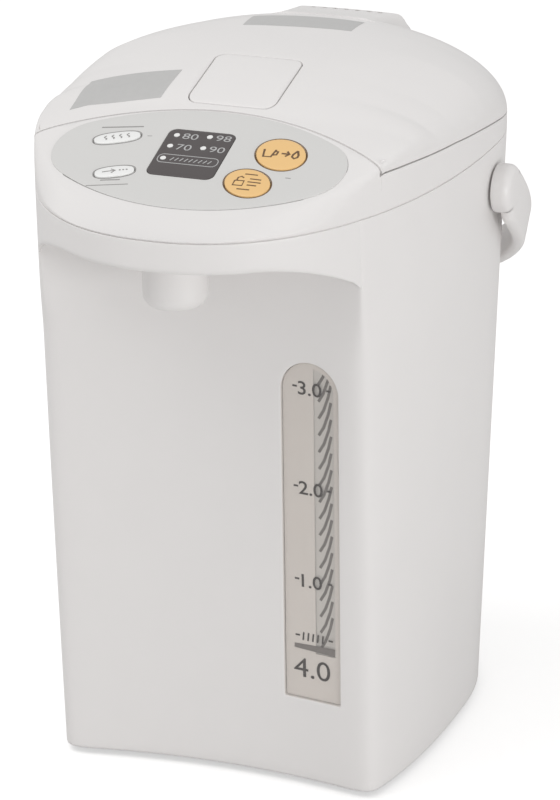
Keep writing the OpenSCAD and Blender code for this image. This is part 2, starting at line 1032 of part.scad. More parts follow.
module hinge_bracket() {
  color([0.9, 0.89, 0.88])
    difference() {
      union() {
        for (s = [-1, 1])
          translate([s * 24, hinge_y, hinge_z])
            rotate([0, 90, 0])
              cylinder(r = 5, h = 6, center = true);
        for (s = [-1, 1])
          translate([s * 24 - 3, hinge_y - 5, 301.9])
            cube([6, 5, hinge_z - 301.9]);
      }
      translate([0, hinge_y, hinge_z])
        rotate([0, 90, 0])
          cylinder(r = 2.02, h = 80, center = true);
    }
}

module hinge_pin() {
  color([0.75, 0.76, 0.78])
    translate([0, hinge_y, hinge_z])
      rotate([0, 90, 0])
        cylinder(r = 2, h = 55, center = true);
}

module lid_knuckle() {
  color([0.9, 0.89, 0.88])
    difference() {
      union() {
        translate([0, hinge_y, hinge_z])
          rotate([0, 90, 0])
            cylinder(r = 5, h = 41, center = true);
        translate([-20.5, 92, hinge_z - 5])
          cube([41, 12, 7]);
        translate([-20.5, 86, 305.7])
          cube([41, 10, hinge_z + 2 - 305.7]);
      }
      translate([0, hinge_y, hinge_z])
        rotate([0, 90, 0])
          cylinder(r = 2.05, h = 80, center = true);
    }
}

// ---------------------------------------------------------------- lid

module lid_region(gap, inset) {
  slab(290, 400)
    intersection() {
      behind_arc(gap);
      head_outline(inset);
    }
}

module lever_plan(grow) {
  r = 5.5;
  for (sx = [-1, 1])
    for (y = [lever_front + r, lever_back - r])
      translate([sx * (lever_half - r), y])
        circle(r = r + grow, $fn = 32);
  translate([-lever_half - grow, lever_front + r])
    square([2 * (lever_half + grow), lever_back - lever_front - 2 * r]);
  translate([-lever_half + r, lever_front - grow])
    square([2 * (lever_half - r), lever_back - lever_front + 2 * grow]);
}

module lid_outer() {
  color([0.93, 0.92, 0.91])
    difference() {
      lid_skin();
      translate([0, lever_axis_y, lever_axis_z])
        rotate([0, 90, 0])
          cylinder(r = 0.74, h = 51, center = true);
    }
}

module lid_skin() {
  moulded()
    difference() {
      intersection() {
        head_solid(0, 0, seam_z);
        lid_region(lid_gap, -1);
        above_seam(0.7);
      }
      intersection() {
        head_solid(wall, wall, seam_z - 1);
        lid_region(lid_gap + wall, -1);
      }
      // pocket for the lever
      slab(320, 400)
        lever_plan(1);
      // window for the latch
      translate([-9.5, -82, 320.5])
        cube([19, 10, 7]);
      // notch for the hinge
      translate([0, 105, 316])
        cube([56, 16, 60], center = true);
      // steam slots under the rear cover
      for (x = [-12 : 6 : 12])
        translate([x, 78, 340])
          cube([2.4, 12, 30], center = true);
    }
}

module lid_inner() {
  color([0.88, 0.87, 0.86])
    difference() {
      union() {
        slab(303.6, 305.6)
          lid_plate_plan();
        slab(303.6, 313)
          difference() {
            lid_plate_plan();
            intersection() {
              head_outline(wall + 3.4);
              behind_arc(lid_gap + 3.9);
            }
          }
        translate([0, 0, 299.6])
          cylinder(r = 78, h = 4.2, $fn = 120);
      }
      translate([0, 105, 316])
        cube([56, 16, 60], center = true);
      translate([0, 60, 290])
        cylinder(r = 6, h = 30);
      translate([0, 0, 299])
        cylinder(r = 71, h = 2.6, $fn = 120);
      for (p = lid_screw_points)
        translate([p[0], p[1], 302])
          cylinder(r = 1.45, h = 6);
    }
}

module lid_plate_plan() {
  intersection() {
    head_outline(wall + 1.4);
    behind_arc(lid_gap + 1.9);
    translate([-110, -110])
      square([220, 206.5]);
  }
}

module lid_disc() {
  color([0.78, 0.79, 0.8])
    difference() {
      translate([0, 0, 299.9])
        cylinder(r = 70.5, h = 1.2, $fn = 120);
      translate([0, 60, 290])
        cylinder(r = 6.2, h = 30);
    }
}

// seal under the inner lid, closing on the container's flange
module lid_gasket() {
  color([0.85, 0.82, 0.78])
    translate([0, 0, can_rim_z + 0.3])
      rotate_extrude($fn = 120) {
        translate([can_r + 0.8, 0.8])
          square([3, 299.6 - can_rim_z - 1.1]);
        translate([can_r + 1.4, 0])
          square([1.2, 1]);
      }
}

lid_screw_points = [[-50, -30], [50, -30], [-42, 40], [42, 40]];

module lid_screws() {
  color([0.7, 0.71, 0.73])
    for (p = lid_screw_points)
      translate([p[0], p[1], 0]) {
        translate([0, 0, 305.7])
          cylinder(r = 3, h = 2);
        translate([0, 0, 302.2])
          cylinder(r = 1.4, h = 3.6);
      }
}

// height just under the lid's skin beside the lever pocket
function under_lid(y) = head_z(26, y) - wall - 0.4;

// open-fronted box under the lever pocket
module latch_housing() {
  ys = [-76.2, -70, -62, -54, -46, -38, -30.4];
  color([0.85, 0.84, 0.83])
    difference() {
      rotate([90, 0, 90])
        translate([0, 0, -26])
          linear_extrude(52)
            polygon(concat([[-30.4, 318], [-76.2, 318]], [for (y = ys) [y, under_lid(y)]]));
      translate([-23.6, -80, 320])
        cube([47.2, 47.2, 40]);
    }
}

module lid_lever() {
  color([0.93, 0.92, 0.91])
    moulded()
    difference() {
      intersection() {
        head_solid(0, 0, seam_z);
        slab(300, 400)
          lever_plan(0);
      }
      head_solid(0, 3, 290);
      // clearance round the hinge barrel
      translate([0, lever_axis_y, lever_axis_z])
        rotate([0, 90, 0])
          cylinder(r = 1.6, h = 60, center = true);
    }
}

module lever_crank() {
  color([0.85, 0.84, 0.83])
    difference() {
      union() {
        translate([0, lever_axis_y, lever_axis_z])
          rotate([0, 90, 0])
            cylinder(r = 1.5, h = 36, center = true);
        translate([-6, lever_axis_y - 1, lever_axis_z - 11])
          cube([12, 2, 11]);
      }
      translate([0, lever_axis_y, lever_axis_z])
        rotate([0, 90, 0])
          cylinder(r = 0.78, h = 60, center = true);
    }
}

module lever_pin() {
  color([0.75, 0.76, 0.78])
    translate([0, lever_axis_y, lever_axis_z])
      rotate([0, 90, 0])
        cylinder(r = 0.72, h = 50, center = true);
}

module latch_slide() {
  color([0.8, 0.8, 0.82])
    difference() {
      translate([-9, -79.1, 321])
        cube([18, 34, 6]);
      translate([-7, -77, 323])
        cube([14, 4.6, 10]);
      translate([-5, -66, 320])
        cube([10, 16, 10]);
    }
}

module steam_cover() {
  color([0.93, 0.92, 0.91])
    moulded()
    difference() {
      hump(0, 0);
      hump(2, 2);
      head_solid(0, -0.1, 290);
      for (x = [-18 : 6 : 18])
        translate([x, 98, 336.5])
          cube([2.6, 12, 4.5], center = true);
    }
}

// raised cover over the steam outlet, its rear face leaning
module hump(inset, drop) {
  hull() {
    for (s = [-1, 1]) {
      translate([s * (24 - inset), 62 + inset, 325])
        cylinder(r = 3, h = 20.5 - drop, $fn = 24);
      translate([s * (24 - inset), 91 - inset, 325])
        cylinder(r = 3, h = 16.5 - drop, $fn = 24);
      translate([s * (31 - inset), 64 + inset, 325])
        cylinder(r = 3, h = 8 - drop, $fn = 24);
      translate([s * (31 - inset), 92 - inset, 325])
        cylinder(r = 3, h = 3 - drop / 2, $fn = 24);
    }
  }
}

module steam_pipe() {
  color([0.85, 0.84, 0.82])
    difference() {
      union() {
        translate([0, 60, 303.8])
          cylinder(r = 5.9, h = 30);
        translate([0, 60, 327])
          cylinder(r = 9, h = 3);
      }
      translate([0, 60, 300])
        cylinder(r = 4, h = 40);
    }
}

module foil(points) {
  difference() {
    intersection() {
      head_solid(0, -0.15, seam_z);
      slab(300, 400)
        polygon(points);
    }
    head_solid(0, 0.0, 290);
  }
}

module lid_foils() {
  color([0.72, 0.72, 0.73])
    moulded() {
      foil([[-77, -89], [-79, -57], [-52, -52.5], [-33.5, -50], [-35, -75], [-69, -84.5]]);
      foil([[-28, 15], [-32, 40.5], [-10, 43.5], [25, 47], [27, 21], [-9, 16.5]]);
    }
}

// ---------------------------------------------------------------- handle

module handle_frame() {
  translate([0, pivot_y, pivot_z])
    rotate([-handle_rest, 0, 0])
      children();
}

function bow(a, b, n) = [for (i = [0 : 48])
  let (t = -90 + 180 * i / 48, r = pow(pow(abs(sin(t)) / a, n) + pow(abs(cos(t)) / b, n), -1 / n))
  [r * sin(t), r * cos(t)]];

// the bail: a band bowed round the back, with round hubs at its ends
module handle() {
  color([0.93, 0.92, 0.91])
    handle_frame()
      difference() {
        union() {
          intersection() {
            translate([0, 0, -20])
              linear_extrude(40)
                difference() {
                  polygon(bow(top_a + 10.2, handle_reach + 7.5, bow_power));
                  polygon(bow(top_a + 3.4, handle_reach, bow_power));
                  translate([-top_a - 50, -10])
                    square([2 * top_a + 100, 9.99]);
                }
            rotate([90, 0, 90])
              translate([0, 0, -top_a - 26])
                linear_extrude(2 * top_a + 52)
                  arm_side();
          }
          for (s = [-1, 1])
            translate([s * (top_a + 5.3), 0, 0])
              rotate([0, 90, 0])
                cylinder(r = hub_r, h = 9.8, center = true, $fn = 72);
        }
        for (s = [-1, 1])
          translate([s * (top_a + 4.6), 0, 0])
            rotate([0, 90, 0])
              cylinder(r = 6.05, h = 8.4, center = true, $fn = 64);
      }
}

// side view of the arm, tapering from the hub to the grip
module arm_side() {
  end = handle_reach + 14;
  near = 0.26 * end;
  far = 0.6 * end;
  near_half = mix(hub_r, grip_half, 0.2);
  far_half = mix(hub_r, grip_half, 0.75);
  polygon([[0, -hub_r], [0, hub_r], [near, near_half], [far, far_half], [end, grip_half],
    [end, -grip_half], [far, -far_half], [near, -near_half]]);
}

module handle_pins() {
  color([0.8, 0.8, 0.82])
    for (s = [-1, 1])
      translate([s * (top_a - 2), pivot_y, pivot_z])
        rotate([0, 90, 0])
          union() {
            cylinder(r = 6, h = 20, center = true, $fn = 64);
            translate([0, 0, -s * 6.5])
              cylinder(r = 11, h = 6, center = true, $fn = 64);
          }
}

// ---------------------------------------------------------------- assembly

turntable();
turntable_feet();
swivel_washer();
swivel_screw();
body_shell();
bottom_plate();
bottom_screws();
glide_pads();
gauge_window();
gauge_plate();
level_tube();
spout();
outlet_pipe();
spill_valve();
valve_ball();
inner_collar();
container_placed();  // container
container_gasket();
insulation_sleeve();
heater_ring();
heater_plate();
thermistor();
thermal_fuse();
pump_housing();
pump_impeller();
pump_motor();
inlet_hose();
feed_hose();
riser_hose();
power_board();
power_inlet();
inlet_magnets();
inlet_pins();
head_ring();
control_panel();
display_window();
indicator_lenses();
boil_button();
select_button();
dispense_button();
unlock_button();
control_board();
hinge_bracket();
hinge_pin();
lid_outer();
lid_knuckle();
lid_inner();
lid_disc();
lid_gasket();
lid_screws();
latch_housing();
lid_lever();
lever_crank();
lever_pin();
latch_slide();
steam_cover();
steam_pipe();
lid_foils();
handle();
handle_pins();
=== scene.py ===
"""An electric thermo pot, dressed over its CAD frame.

Shapes are worked out in millimetres in the part's own frame: origin on the table under the
container axis, +Z up, spout towards -Y. Meshes are written in metres.
"""

import json
import math

import bmesh
import bpy
import numpy as np
from mathutils import Matrix, Vector
from mathutils.geometry import delaunay_2d_cdt


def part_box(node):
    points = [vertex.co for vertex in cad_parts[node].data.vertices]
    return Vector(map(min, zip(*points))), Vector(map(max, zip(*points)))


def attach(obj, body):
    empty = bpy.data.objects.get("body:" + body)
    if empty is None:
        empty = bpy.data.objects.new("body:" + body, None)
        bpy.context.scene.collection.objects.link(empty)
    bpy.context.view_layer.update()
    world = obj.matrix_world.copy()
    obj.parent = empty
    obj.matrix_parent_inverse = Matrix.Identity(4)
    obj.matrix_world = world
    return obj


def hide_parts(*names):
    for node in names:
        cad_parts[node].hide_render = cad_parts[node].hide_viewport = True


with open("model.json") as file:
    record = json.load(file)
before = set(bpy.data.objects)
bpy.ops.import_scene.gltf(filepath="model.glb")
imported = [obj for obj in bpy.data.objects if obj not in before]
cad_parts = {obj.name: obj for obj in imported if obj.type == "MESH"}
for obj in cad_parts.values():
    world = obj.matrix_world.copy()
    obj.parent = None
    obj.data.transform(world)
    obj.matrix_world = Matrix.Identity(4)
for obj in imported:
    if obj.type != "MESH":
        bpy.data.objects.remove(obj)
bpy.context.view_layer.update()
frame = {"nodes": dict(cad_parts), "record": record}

# ---- driving sizes, mm

SEAM_Z = 302.7
RIM_Z = 3.0
WALL = 2.5
FOOT = {"half": 93.6, "front": 181.8, "back": 97.3, "square": 2.42, "mid": 1.0}
TOP = {"half": 104.4, "front": 190.8, "back": 98.9, "square": 2.25, "mid": 10.6}
FRONT_Y = 98.5
LEAN = 0.043
HOLLOW = 8.5
ARCH_Z = 287.0
ARCH_FLAT = 45.0
ARCH_HALF = 85.5
ARCH_DROP = 33.0
DOME_Z = 351.5
ARC_FRONT = -80.0
ARC_BOW = 0.0037
LID_GAP = 0.8
PANEL_Y = -135.0
PANEL_Z = 315.97
PANEL_SLOPE = 0.35
PANEL_ANGLE = math.atan(PANEL_SLOPE)
PANEL_FAR = -80.7
PANEL_NEAR = -152.8
FAR_R = 118.0
NEAR_R = 112.0
PANEL_HALF = 72.6
TIP_R = 24.0
GAUGE_X = 50.4
GAUGE_W = 30.0
GAUGE_LOW = 48.0
GAUGE_TOP = 226.0
GAUGE_SPRING = GAUGE_TOP - GAUGE_W / 2  # where the window's arch begins
GAUGE_LEAN = math.tan(math.radians(0.7))
SPOUT_Y = -147.0
SPOUT_LOW = 261.4
PIVOT_Y = 14.0
PIVOT_Z = 280.6
HANDLE_REST = math.radians(36.5)
HUB_R = 12.2
ARM_DROP = 3.0
GRIP_HALF = 10.0
BOW_POWER = 2.3


# ---- small helpers

def mix(a, b, k):
    return a + (b - a) * k


def clamp(v, low=0.0, high=1.0):
    return max(low, min(high, v))


def smooth(v):
    v = clamp(v)
    return v * v * (3 - 2 * v)


def bisect(f, low, high, steps=34):
    """Where f changes from positive to negative between low and high."""
    for _ in range(steps):
        mid = (low + high) / 2
        if f(mid) > 0:
            low = mid
        else:
            high = mid
    return (low + high) / 2


def eased(share, count):
    """Values from -1 to 1, the closer at the ends the larger the sine's share."""
    return [share * math.sin(math.pi / 2 * v) + (1 - share) * v for v in np.linspace(-1, 1, count)]


def steps_up(x, y, low, top, count):
    """Points of an upright line above low, up to top."""
    return [(x, y, mix(low, top, s)) for s in np.linspace(0, 1, count)[1:]]


def as_rows(columns):
    return [list(r) for r in zip(*columns)]


def arc(cx, cy, r, start, end, count):
    return [(cx + r * math.cos(mix(start, end, i / count)), cy + r * math.sin(mix(start, end, i / count)))
            for i in range(count + 1)]


def tidy_loop(points, least=0.02):
    """Drops points that repeat their neighbour, also across the loop's ends."""
    kept = []
    for p in points:
        if not kept or math.dist(p, kept[-1]) > least:
            kept.append(tuple(p))
    while len(kept) > 1 and math.dist(kept[0], kept[-1]) <= least:
        kept.pop()
    return kept


def round_rect(cx, cy, w, h, r, count=8):
    half = math.pi / 2
    loop = []
    for i, (sx, sy) in enumerate([(1, 1), (-1, 1), (-1, -1), (1, -1)]):
        loop += arc(cx + sx * (w / 2 - r), cy + sy * (h / 2 - r), r, i * half, (i + 1) * half, count)
    return tidy_loop(loop)


def oval(cx, cy, a, b, count):
    return [(cx + a * math.cos(math.tau * i / count), cy + b * math.sin(math.tau * i / count))
            for i in range(count)]


def offset_loop(loop, d):
    """The loop moved outwards by d; it runs anticlockwise."""
    p = np.array(loop, float)
    ahead = np.roll(p, -1, axis=0) - p
    ahead /= np.linalg.norm(ahead, axis=1)[:, None]
    behind = np.roll(ahead, 1, axis=0)
    normal = np.stack([ahead[:, 1] + behind[:, 1], -ahead[:, 0] - behind[:, 0]], axis=1) / 2
    size = np.maximum(np.sum(normal * normal, axis=1), 0.35)
    return [tuple(q) for q in p + normal * (d / size)[:, None]]


def resample(points, count):
    """count + 1 points evenly along an open line."""
    p = np.array(points, float)
    run = np.concatenate([[0], np.cumsum(np.linalg.norm(np.diff(p, axis=0), axis=1))])
    at = np.linspace(0, run[-1], count + 1)
    return [tuple(np.interp(a, run, p[:, k]) for k in range(p.shape[1])) for a in at]


def within(points, loop):
    """Which points lie inside the loop."""
    x = points[:, 0][:, None]
    y = points[:, 1][:, None]
    a = np.array(loop, float)
    b = np.roll(a, -1, axis=0)
    crosses = (a[:, 1] > y) != (b[:, 1] > y)
    span = np.where(b[:, 1] == a[:, 1], 1e-12, b[:, 1] - a[:, 1])
    at = a[:, 0] + (y - a[:, 1]) / span * (b[:, 0] - a[:, 0])
    return np.sum(crosses & (x < at), axis=1) % 2 == 1


def distance_to(points, loop):
    a = np.array(loop, float)
    b = np.roll(a, -1, axis=0)
    ab = b - a
    best = np.full(len(points), 1e9)
    for i in range(len(a)):
        along = np.clip((points - a[i]) @ ab[i] / max(ab[i] @ ab[i], 1e-12), 0, 1)
        gap = np.linalg.norm(points - a[i] - along[:, None] * ab[i], axis=1)
        best = np.minimum(best, gap)
    return best


def fill(outer, holes, step):
    """Triangles over a flat outline with holes, with points spread evenly inside it."""
    loops = [tidy_loop(outer)] + [tidy_loop(h) for h in holes]
    low = np.min(loops[0], axis=0)
    high = np.max(loops[0], axis=0)
    rise = step * 0.866
    spread = [(x + (j % 2) * step / 2, y)
              for j, y in enumerate(np.arange(low[1] + rise, high[1], rise))
              for x in np.arange(low[0] + step, high[0], step)]
    if spread:
        spread = np.array(spread)
        keep = within(spread, loops[0])
        for h in loops[1:]:
            keep &= ~within(spread, h)
        spread = spread[keep]
        for loop in loops:
            if len(spread):
                spread = spread[distance_to(spread, loop) > step * 0.55]
    coords = [Vector(p) for loop in loops for p in loop] + [Vector(p) for p in spread]
    edges = []
    start = 0
    for loop in loops:
        n = len(loop)
        edges += [(start + i, start + (i + 1) % n) for i in range(n)]
        start += n
    verts, _, faces, _, _, _ = delaunay_2d_cdt(coords, edges, [], 0, 1e-6)
    points = np.array([tuple(v) for v in verts])
    faces = [f for f in faces if len(f) == 3]
    middles = np.array([points[list(f)].mean(axis=0) for f in faces])
    keep = within(middles, loops[0])
    for h in loops[1:]:
        keep &= ~within(middles, h)
    return points, [f for f, k in zip(faces, keep) if k]


def quarter(steps):
    """Angles from 0 to a quarter turn."""
    return [math.pi / 2 * k / steps for k in range(steps + 1)]


def edge_profile(roll, depth):
    """(outward offset taken off, depth) rows of a rolled edge, from the face downwards."""
    rows = [(roll * (1 - math.sin(a)), roll * (1 - math.cos(a))) for a in quarter(5)]
    return rows + [(0.0, mix(roll, depth, 0.5)), (0.0, depth)]


class Skin:
    """Gathers grids and patches in millimetres and welds them into one mesh object."""

    def __init__(self):
        self.verts = []
        self.faces = []

    def grid(self, rows, closed=False):
        base = len(self.verts)
        wide = len(rows[0])
        for row in rows:
            self.verts += [tuple(p) for p in row]
        for i in range(len(rows) - 1):
            for j in range(wide if closed else wide - 1):
                k = (j + 1) % wide
                self.faces.append((base + i * wide + j, base + i * wide + k,
                                   base + (i + 1) * wide + k, base + (i + 1) * wide + j))

    def patch(self, outer, holes, place, step):
        points, faces = fill(outer, holes, step)
        base = len(self.verts)
        self.verts += [tuple(place(p[0], p[1])) for p in points]
        self.faces += [tuple(base + i for i in f) for f in faces]

    def edge(self, loop, sign, place, roll, depth):
        """A rolled edge round a loop: sign -1 for the outside of a slab, +1 for a hole."""
        self.grid([[place(u, v, -down) for u, v in offset_loop(loop, sign * off)]
                   for off, down in edge_profile(roll, depth)], closed=True)

    def build(self, name, material, body="pot", stands_for=(), sharp=40, weld=0.004):
        mesh = bpy.data.meshes.new(name)
        mesh.from_pydata([(x / 1000, y / 1000, z / 1000) for x, y, z in self.verts], [], self.faces)
        work = bmesh.new()
        work.from_mesh(mesh)
        bmesh.ops.remove_doubles(work, verts=work.verts, dist=weld / 1000)
        bmesh.ops.dissolve_degenerate(work, edges=work.edges, dist=1e-7)
        bmesh.ops.recalc_face_normals(work, faces=work.faces)
        work.to_mesh(mesh)
        work.free()
        for p in mesh.polygons:
            p.use_smooth = True
        mesh.set_sharp_from_angle(angle=math.radians(sharp))
        obj = bpy.data.objects.new(name, mesh)
        bpy.context.scene.collection.objects.link(obj)
        obj.data.materials.append(MATERIALS[material])
        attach(obj, body)
        if stands_for:
            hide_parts(*stands_for)


def slab(name, outer, place, material, holes=(), roll=0.4, depth=2.0, step=3.0, back=True, **build):
    """A sheet with rolled edges: the face at w = 0, its back at w = -depth."""
    skin = Skin()
    skin.patch(offset_loop(outer, -roll), [offset_loop(h, roll) for h in holes],
               lambda u, v: place(u, v, 0.0), step)
    skin.edge(outer, -1, place, roll, depth)
    for h in holes:
        skin.edge(h, 1, place, roll, depth)
    if back:
        skin.patch(outer, holes, lambda u, v: place(u, v, -depth), max(step, 4.0))
    skin.build(name, material, **build)


def lathe(skin, profile, place, count=96):
    """Turns (radius, height) points about an axis; place takes x, y, height."""
    rows = []
    for r, h in profile:
        rows.append([place(r * math.cos(math.tau * i / count), r * math.sin(math.tau * i / count), h)
                     for i in range(count)])
    skin.grid(rows, closed=True)


# ---- materials

COAT_ROUGH = 0.12
ROUGH_DRIFT = 0.05
GRAIN_HEIGHT = 0.0003  # metres


def linear(c):
    return tuple(v / 12.92 if v <= 0.04045 else ((v + 0.055) / 1.055) ** 2.4 for v in c[:3])


def preset(node, values):
    """Sets inputs of a shader node by their names."""
    for name, value in values.items():
        node.inputs[name].default_value = value
    return node


def add(tree, kind, values=()):
    """A new shader node with some of its inputs set."""
    return preset(tree.nodes.new("ShaderNode" + kind), dict(values))


def surface(name, color, rough, metal=0.0, grain=0.02, grain_scale=900.0, tint=0.015, tint_scale=30.0,
            stretch=(1.0, 1.0, 1.0), coat=0.0, specular=0.5):
    """A procedural finish: colour drifts a little, roughness varies, and a fine grain lifts it."""
    mat = bpy.data.materials.new(name)
    mat.use_nodes = True
    tree = mat.node_tree
    link = tree.links.new
    shader = preset(tree.nodes["Principled BSDF"], {"Metallic": metal, "Specular IOR Level": specular,
                                                    "Coat Weight": coat, "Coat Roughness": COAT_ROUGH})
    where = add(tree, "TexCoord")
    spread = add(tree, "Mapping", {"Scale": stretch})
    link(where.outputs["Object"], spread.inputs["Vector"])
    drift = add(tree, "TexNoise", {"Scale": tint_scale, "Detail": 3.0})
    link(spread.outputs["Vector"], drift.inputs["Vector"])
    hue = add(tree, "Mix")
    hue.data_type = "RGBA"
    base = linear(color)
    preset(hue, {"A": tuple(max(v * (1 - tint), 0) for v in base) + (1,),
                 "B": tuple(min(v * (1 + tint), 1) for v in base) + (1,)})
    link(drift.outputs["Fac"], hue.inputs["Factor"])
    link(hue.outputs["Result"], shader.inputs["Base Color"])
    fine = add(tree, "TexNoise", {"Scale": grain_scale, "Detail": 2.0})
    link(spread.outputs["Vector"], fine.inputs["Vector"])
    dull = add(tree, "MapRange", {"To Min": max(rough - ROUGH_DRIFT, 0.02),
                                  "To Max": min(rough + ROUGH_DRIFT, 1.0)})
    link(fine.outputs["Fac"], dull.inputs["Value"])
    link(dull.outputs["Result"], shader.inputs["Roughness"])
    lift = add(tree, "Bump", {"Strength": grain, "Distance": GRAIN_HEIGHT})
    link(fine.outputs["Fac"], lift.inputs["Height"])
    link(lift.outputs["Normal"], shader.inputs["Normal"])
    return mat


def clear_plastic(name, color, cover):
    """Thin clear plastic: mostly see-through, with a little gloss and tint."""
    mat = surface(name, color, 0.12, grain=0.01, specular=0.6)
    tree = mat.node_tree
    link = tree.links.new
    through = add(tree, "BsdfTransparent", {"Color": linear(color) + (1,)})
    blend = add(tree, "MixShader", {"Fac": cover})
    link(through.outputs["BSDF"], blend.inputs[1])
    link(tree.nodes["Principled BSDF"].outputs["BSDF"], blend.inputs[2])
    link(blend.outputs["Shader"], tree.nodes["Material Output"].inputs["Surface"])
    return mat


# name: colour, roughness, and what differs from the usual finish
FINISHES = {
    "white_body": ((0.925, 0.915, 0.91), 0.36, dict(grain=0.03, grain_scale=1400, coat=0.12)),
    "white_button": ((0.95, 0.95, 0.945), 0.3, dict(grain=0.01)),
    "orange_button": ((0.955, 0.785, 0.53), 0.32, dict(grain=0.015, tint=0.03)),
    "silver_panel": ((0.852, 0.848, 0.84), 0.42, dict(grain=0.05, grain_scale=2200, tint=0.01)),
    "foil": ((0.76, 0.757, 0.752), 0.45, dict(grain=0.06, grain_scale=1600, tint=0.04, tint_scale=300)),
    "dark_window": ((0.335, 0.315, 0.315), 0.25, dict(grain=0.01, specular=0.4)),
    "gauge_silver": ((0.905, 0.89, 0.878), 0.4, dict(grain=0.04, tint=0.02, tint_scale=60)),
    "inner_plastic": ((0.87, 0.865, 0.86), 0.5, dict(grain=0.05, grain_scale=1500)),
    "steel": ((0.8, 0.805, 0.81), 0.28, dict(metal=1.0, grain=0.04, grain_scale=600, stretch=(1, 1, 30))),
    "zinc": ((0.74, 0.75, 0.77), 0.36, dict(metal=1.0, grain=0.05)),
    "rubber": ((0.34, 0.34, 0.345), 0.75, dict(grain=0.15, grain_scale=1800, specular=0.25)),
    "silicone": ((0.88, 0.865, 0.83), 0.55, dict(grain=0.05, specular=0.35)),
    "dark_plastic": ((0.3, 0.3, 0.32), 0.5, dict(grain=0.08)),
    "board": ((0.2, 0.42, 0.27), 0.45, dict(grain=0.05, tint=0.1, tint_scale=250)),
    "heater": ((0.62, 0.6, 0.56), 0.45, dict(metal=0.9, grain=0.15, grain_scale=700)),
    "brass": ((0.83, 0.73, 0.45), 0.3, dict(metal=1.0, grain=0.03)),
    "insulation": ((0.8, 0.805, 0.81), 0.38, dict(metal=0.8, grain=0.3, grain_scale=160)),
    "print_dark": ((0.19, 0.165, 0.16), 0.5, dict(grain=0.01)),
    "print_brown": ((0.42, 0.31, 0.2), 0.5, dict(grain=0.01)),
    "print_grey": ((0.6, 0.59, 0.585), 0.5, dict(grain=0.01)),
    "print_light": ((0.72, 0.72, 0.72), 0.5, dict(grain=0.01)),
    "print_hatch": ((0.37, 0.35, 0.34), 0.5, dict(grain=0.01)),
    # painted shade: the darker band across the foot of the gauge's window
    "painted_shade_band": ((0.48, 0.46, 0.45), 0.5, dict(grain=0.01, tint=0.08, tint_scale=400)),
}
MATERIALS = {name: surface(name, color, rough, **more) for name, (color, rough, more) in FINISHES.items()}
MATERIALS["clear"] = clear_plastic("clear", (0.985, 0.98, 0.975), 0.1)

for part in frame["record"]["subparts"]:
    node = frame["nodes"][part["node"]]
    node.data.materials.clear()
    node.data.materials.append(MATERIALS[part["material_slot"]])


# ---- the tower's outline

HOLLOW_HALF = 79.0  # half width over which the front face is hollow by HOLLOW
FAR_AWAY = 900.0
CORNER_SOFT = 28
CORNER_CRISP = 260
CRISP_Z = 215.0
CRISP_OVER = 75.0
HOOD_SHARE = 0.12  # of the front's width at each side, where the hood meets the corner


def outline_radius(t, half, front, back, square):
    """Radius of the rounded outline at angle t, where 0 points to the front."""
    deep = front if math.cos(t) > 0 else back
    return (abs(math.sin(t) / half) ** square + abs(math.cos(t) / deep) ** square) ** (-1 / square)


def tower(z, what):
    return mix(FOOT[what], TOP[what], z / SEAM_Z)


def tower_radius(t, z):
    return outline_radius(t, tower(z, "half"), tower(z, "front"), tower(z, "back"), tower(z, "square"))


def face_radius(t, z):
    """Radius at which a ray from the middle meets the hollow front face."""
    q = HOLLOW * (math.sin(t) / HOLLOW_HALF) ** 2
    m = tower(z, "mid") + FRONT_Y + LEAN * z
    c = math.cos(t)
    if c < 0.02:
        return FAR_AWAY
    if q < 1e-7:
        return m / c
    d = c * c - 4 * q * m
    return FAR_AWAY if d <= 0 else (c - math.sqrt(d)) / (2 * q)


def corner_angle(z):
    """Angle of the upright corner between the hollow face and the round back."""
    return bisect(lambda t: tower_radius(t, z) - face_radius(t, z), 0.25, 1.0)


CORNER_Z = np.linspace(-5, 310, 64)
CORNER_T = np.array([corner_angle(z) for z in CORNER_Z])


def corner(z):
    return float(np.interp(z, CORNER_Z, CORNER_T))


def corner_power(z):
    """How tight the upright corner is: soft low down, crisp where the arch runs into it."""
    return mix(CORNER_SOFT, CORNER_CRISP, smooth((z - CRISP_Z) / CRISP_OVER) ** 2)


def corner_loss(z):
    return 1 - 2 ** (-1 / corner_power(z))


def shell_radius(t, z):
    """The skin below the arch: round back and hollow face with the corner rounded."""
    a = tower_radius(t, z)
    e = face_radius(t, z)
    if a < 0.7 * e:
        return a
    p = corner_power(z)
    k = (a / e) ** p if a < 1.6 * e else 1e60
    return e if k > 1e50 else a * (1 + k) ** (-1 / p)


def spot(t, r, z):
    return (r * math.sin(t), tower(z, "mid") - r * math.cos(t), z)


def front_spot(x, z):
    """The point of the front face at x and z."""
    s = abs(x)
    t = bisect(lambda a: s - shell_radius(a, z) * math.sin(a), 0.0, corner(z))
    p = spot(t, shell_radius(t, z), z)
    return (x, p[1], z)


def back_spot(x, z):
    n = tower(z, "square")
    rest = max(1 - abs(x / tower(z, "half")) ** n, 0)
    return (x, tower(z, "mid") + tower(z, "back") * rest ** (1 / n), z)


def roof_z(x):
    """Height of the arch over the cup space."""
    s = abs(x)
    if s <= ARCH_FLAT:
        return ARCH_Z
    if s >= ARCH_HALF:
        return ARCH_Z - ARCH_DROP
    reach = (s - ARCH_FLAT) / (ARCH_HALF - ARCH_FLAT)
    return ARCH_Z - ARCH_DROP + ARCH_DROP * math.sqrt(1 - reach ** 2)


# ---- body moulding

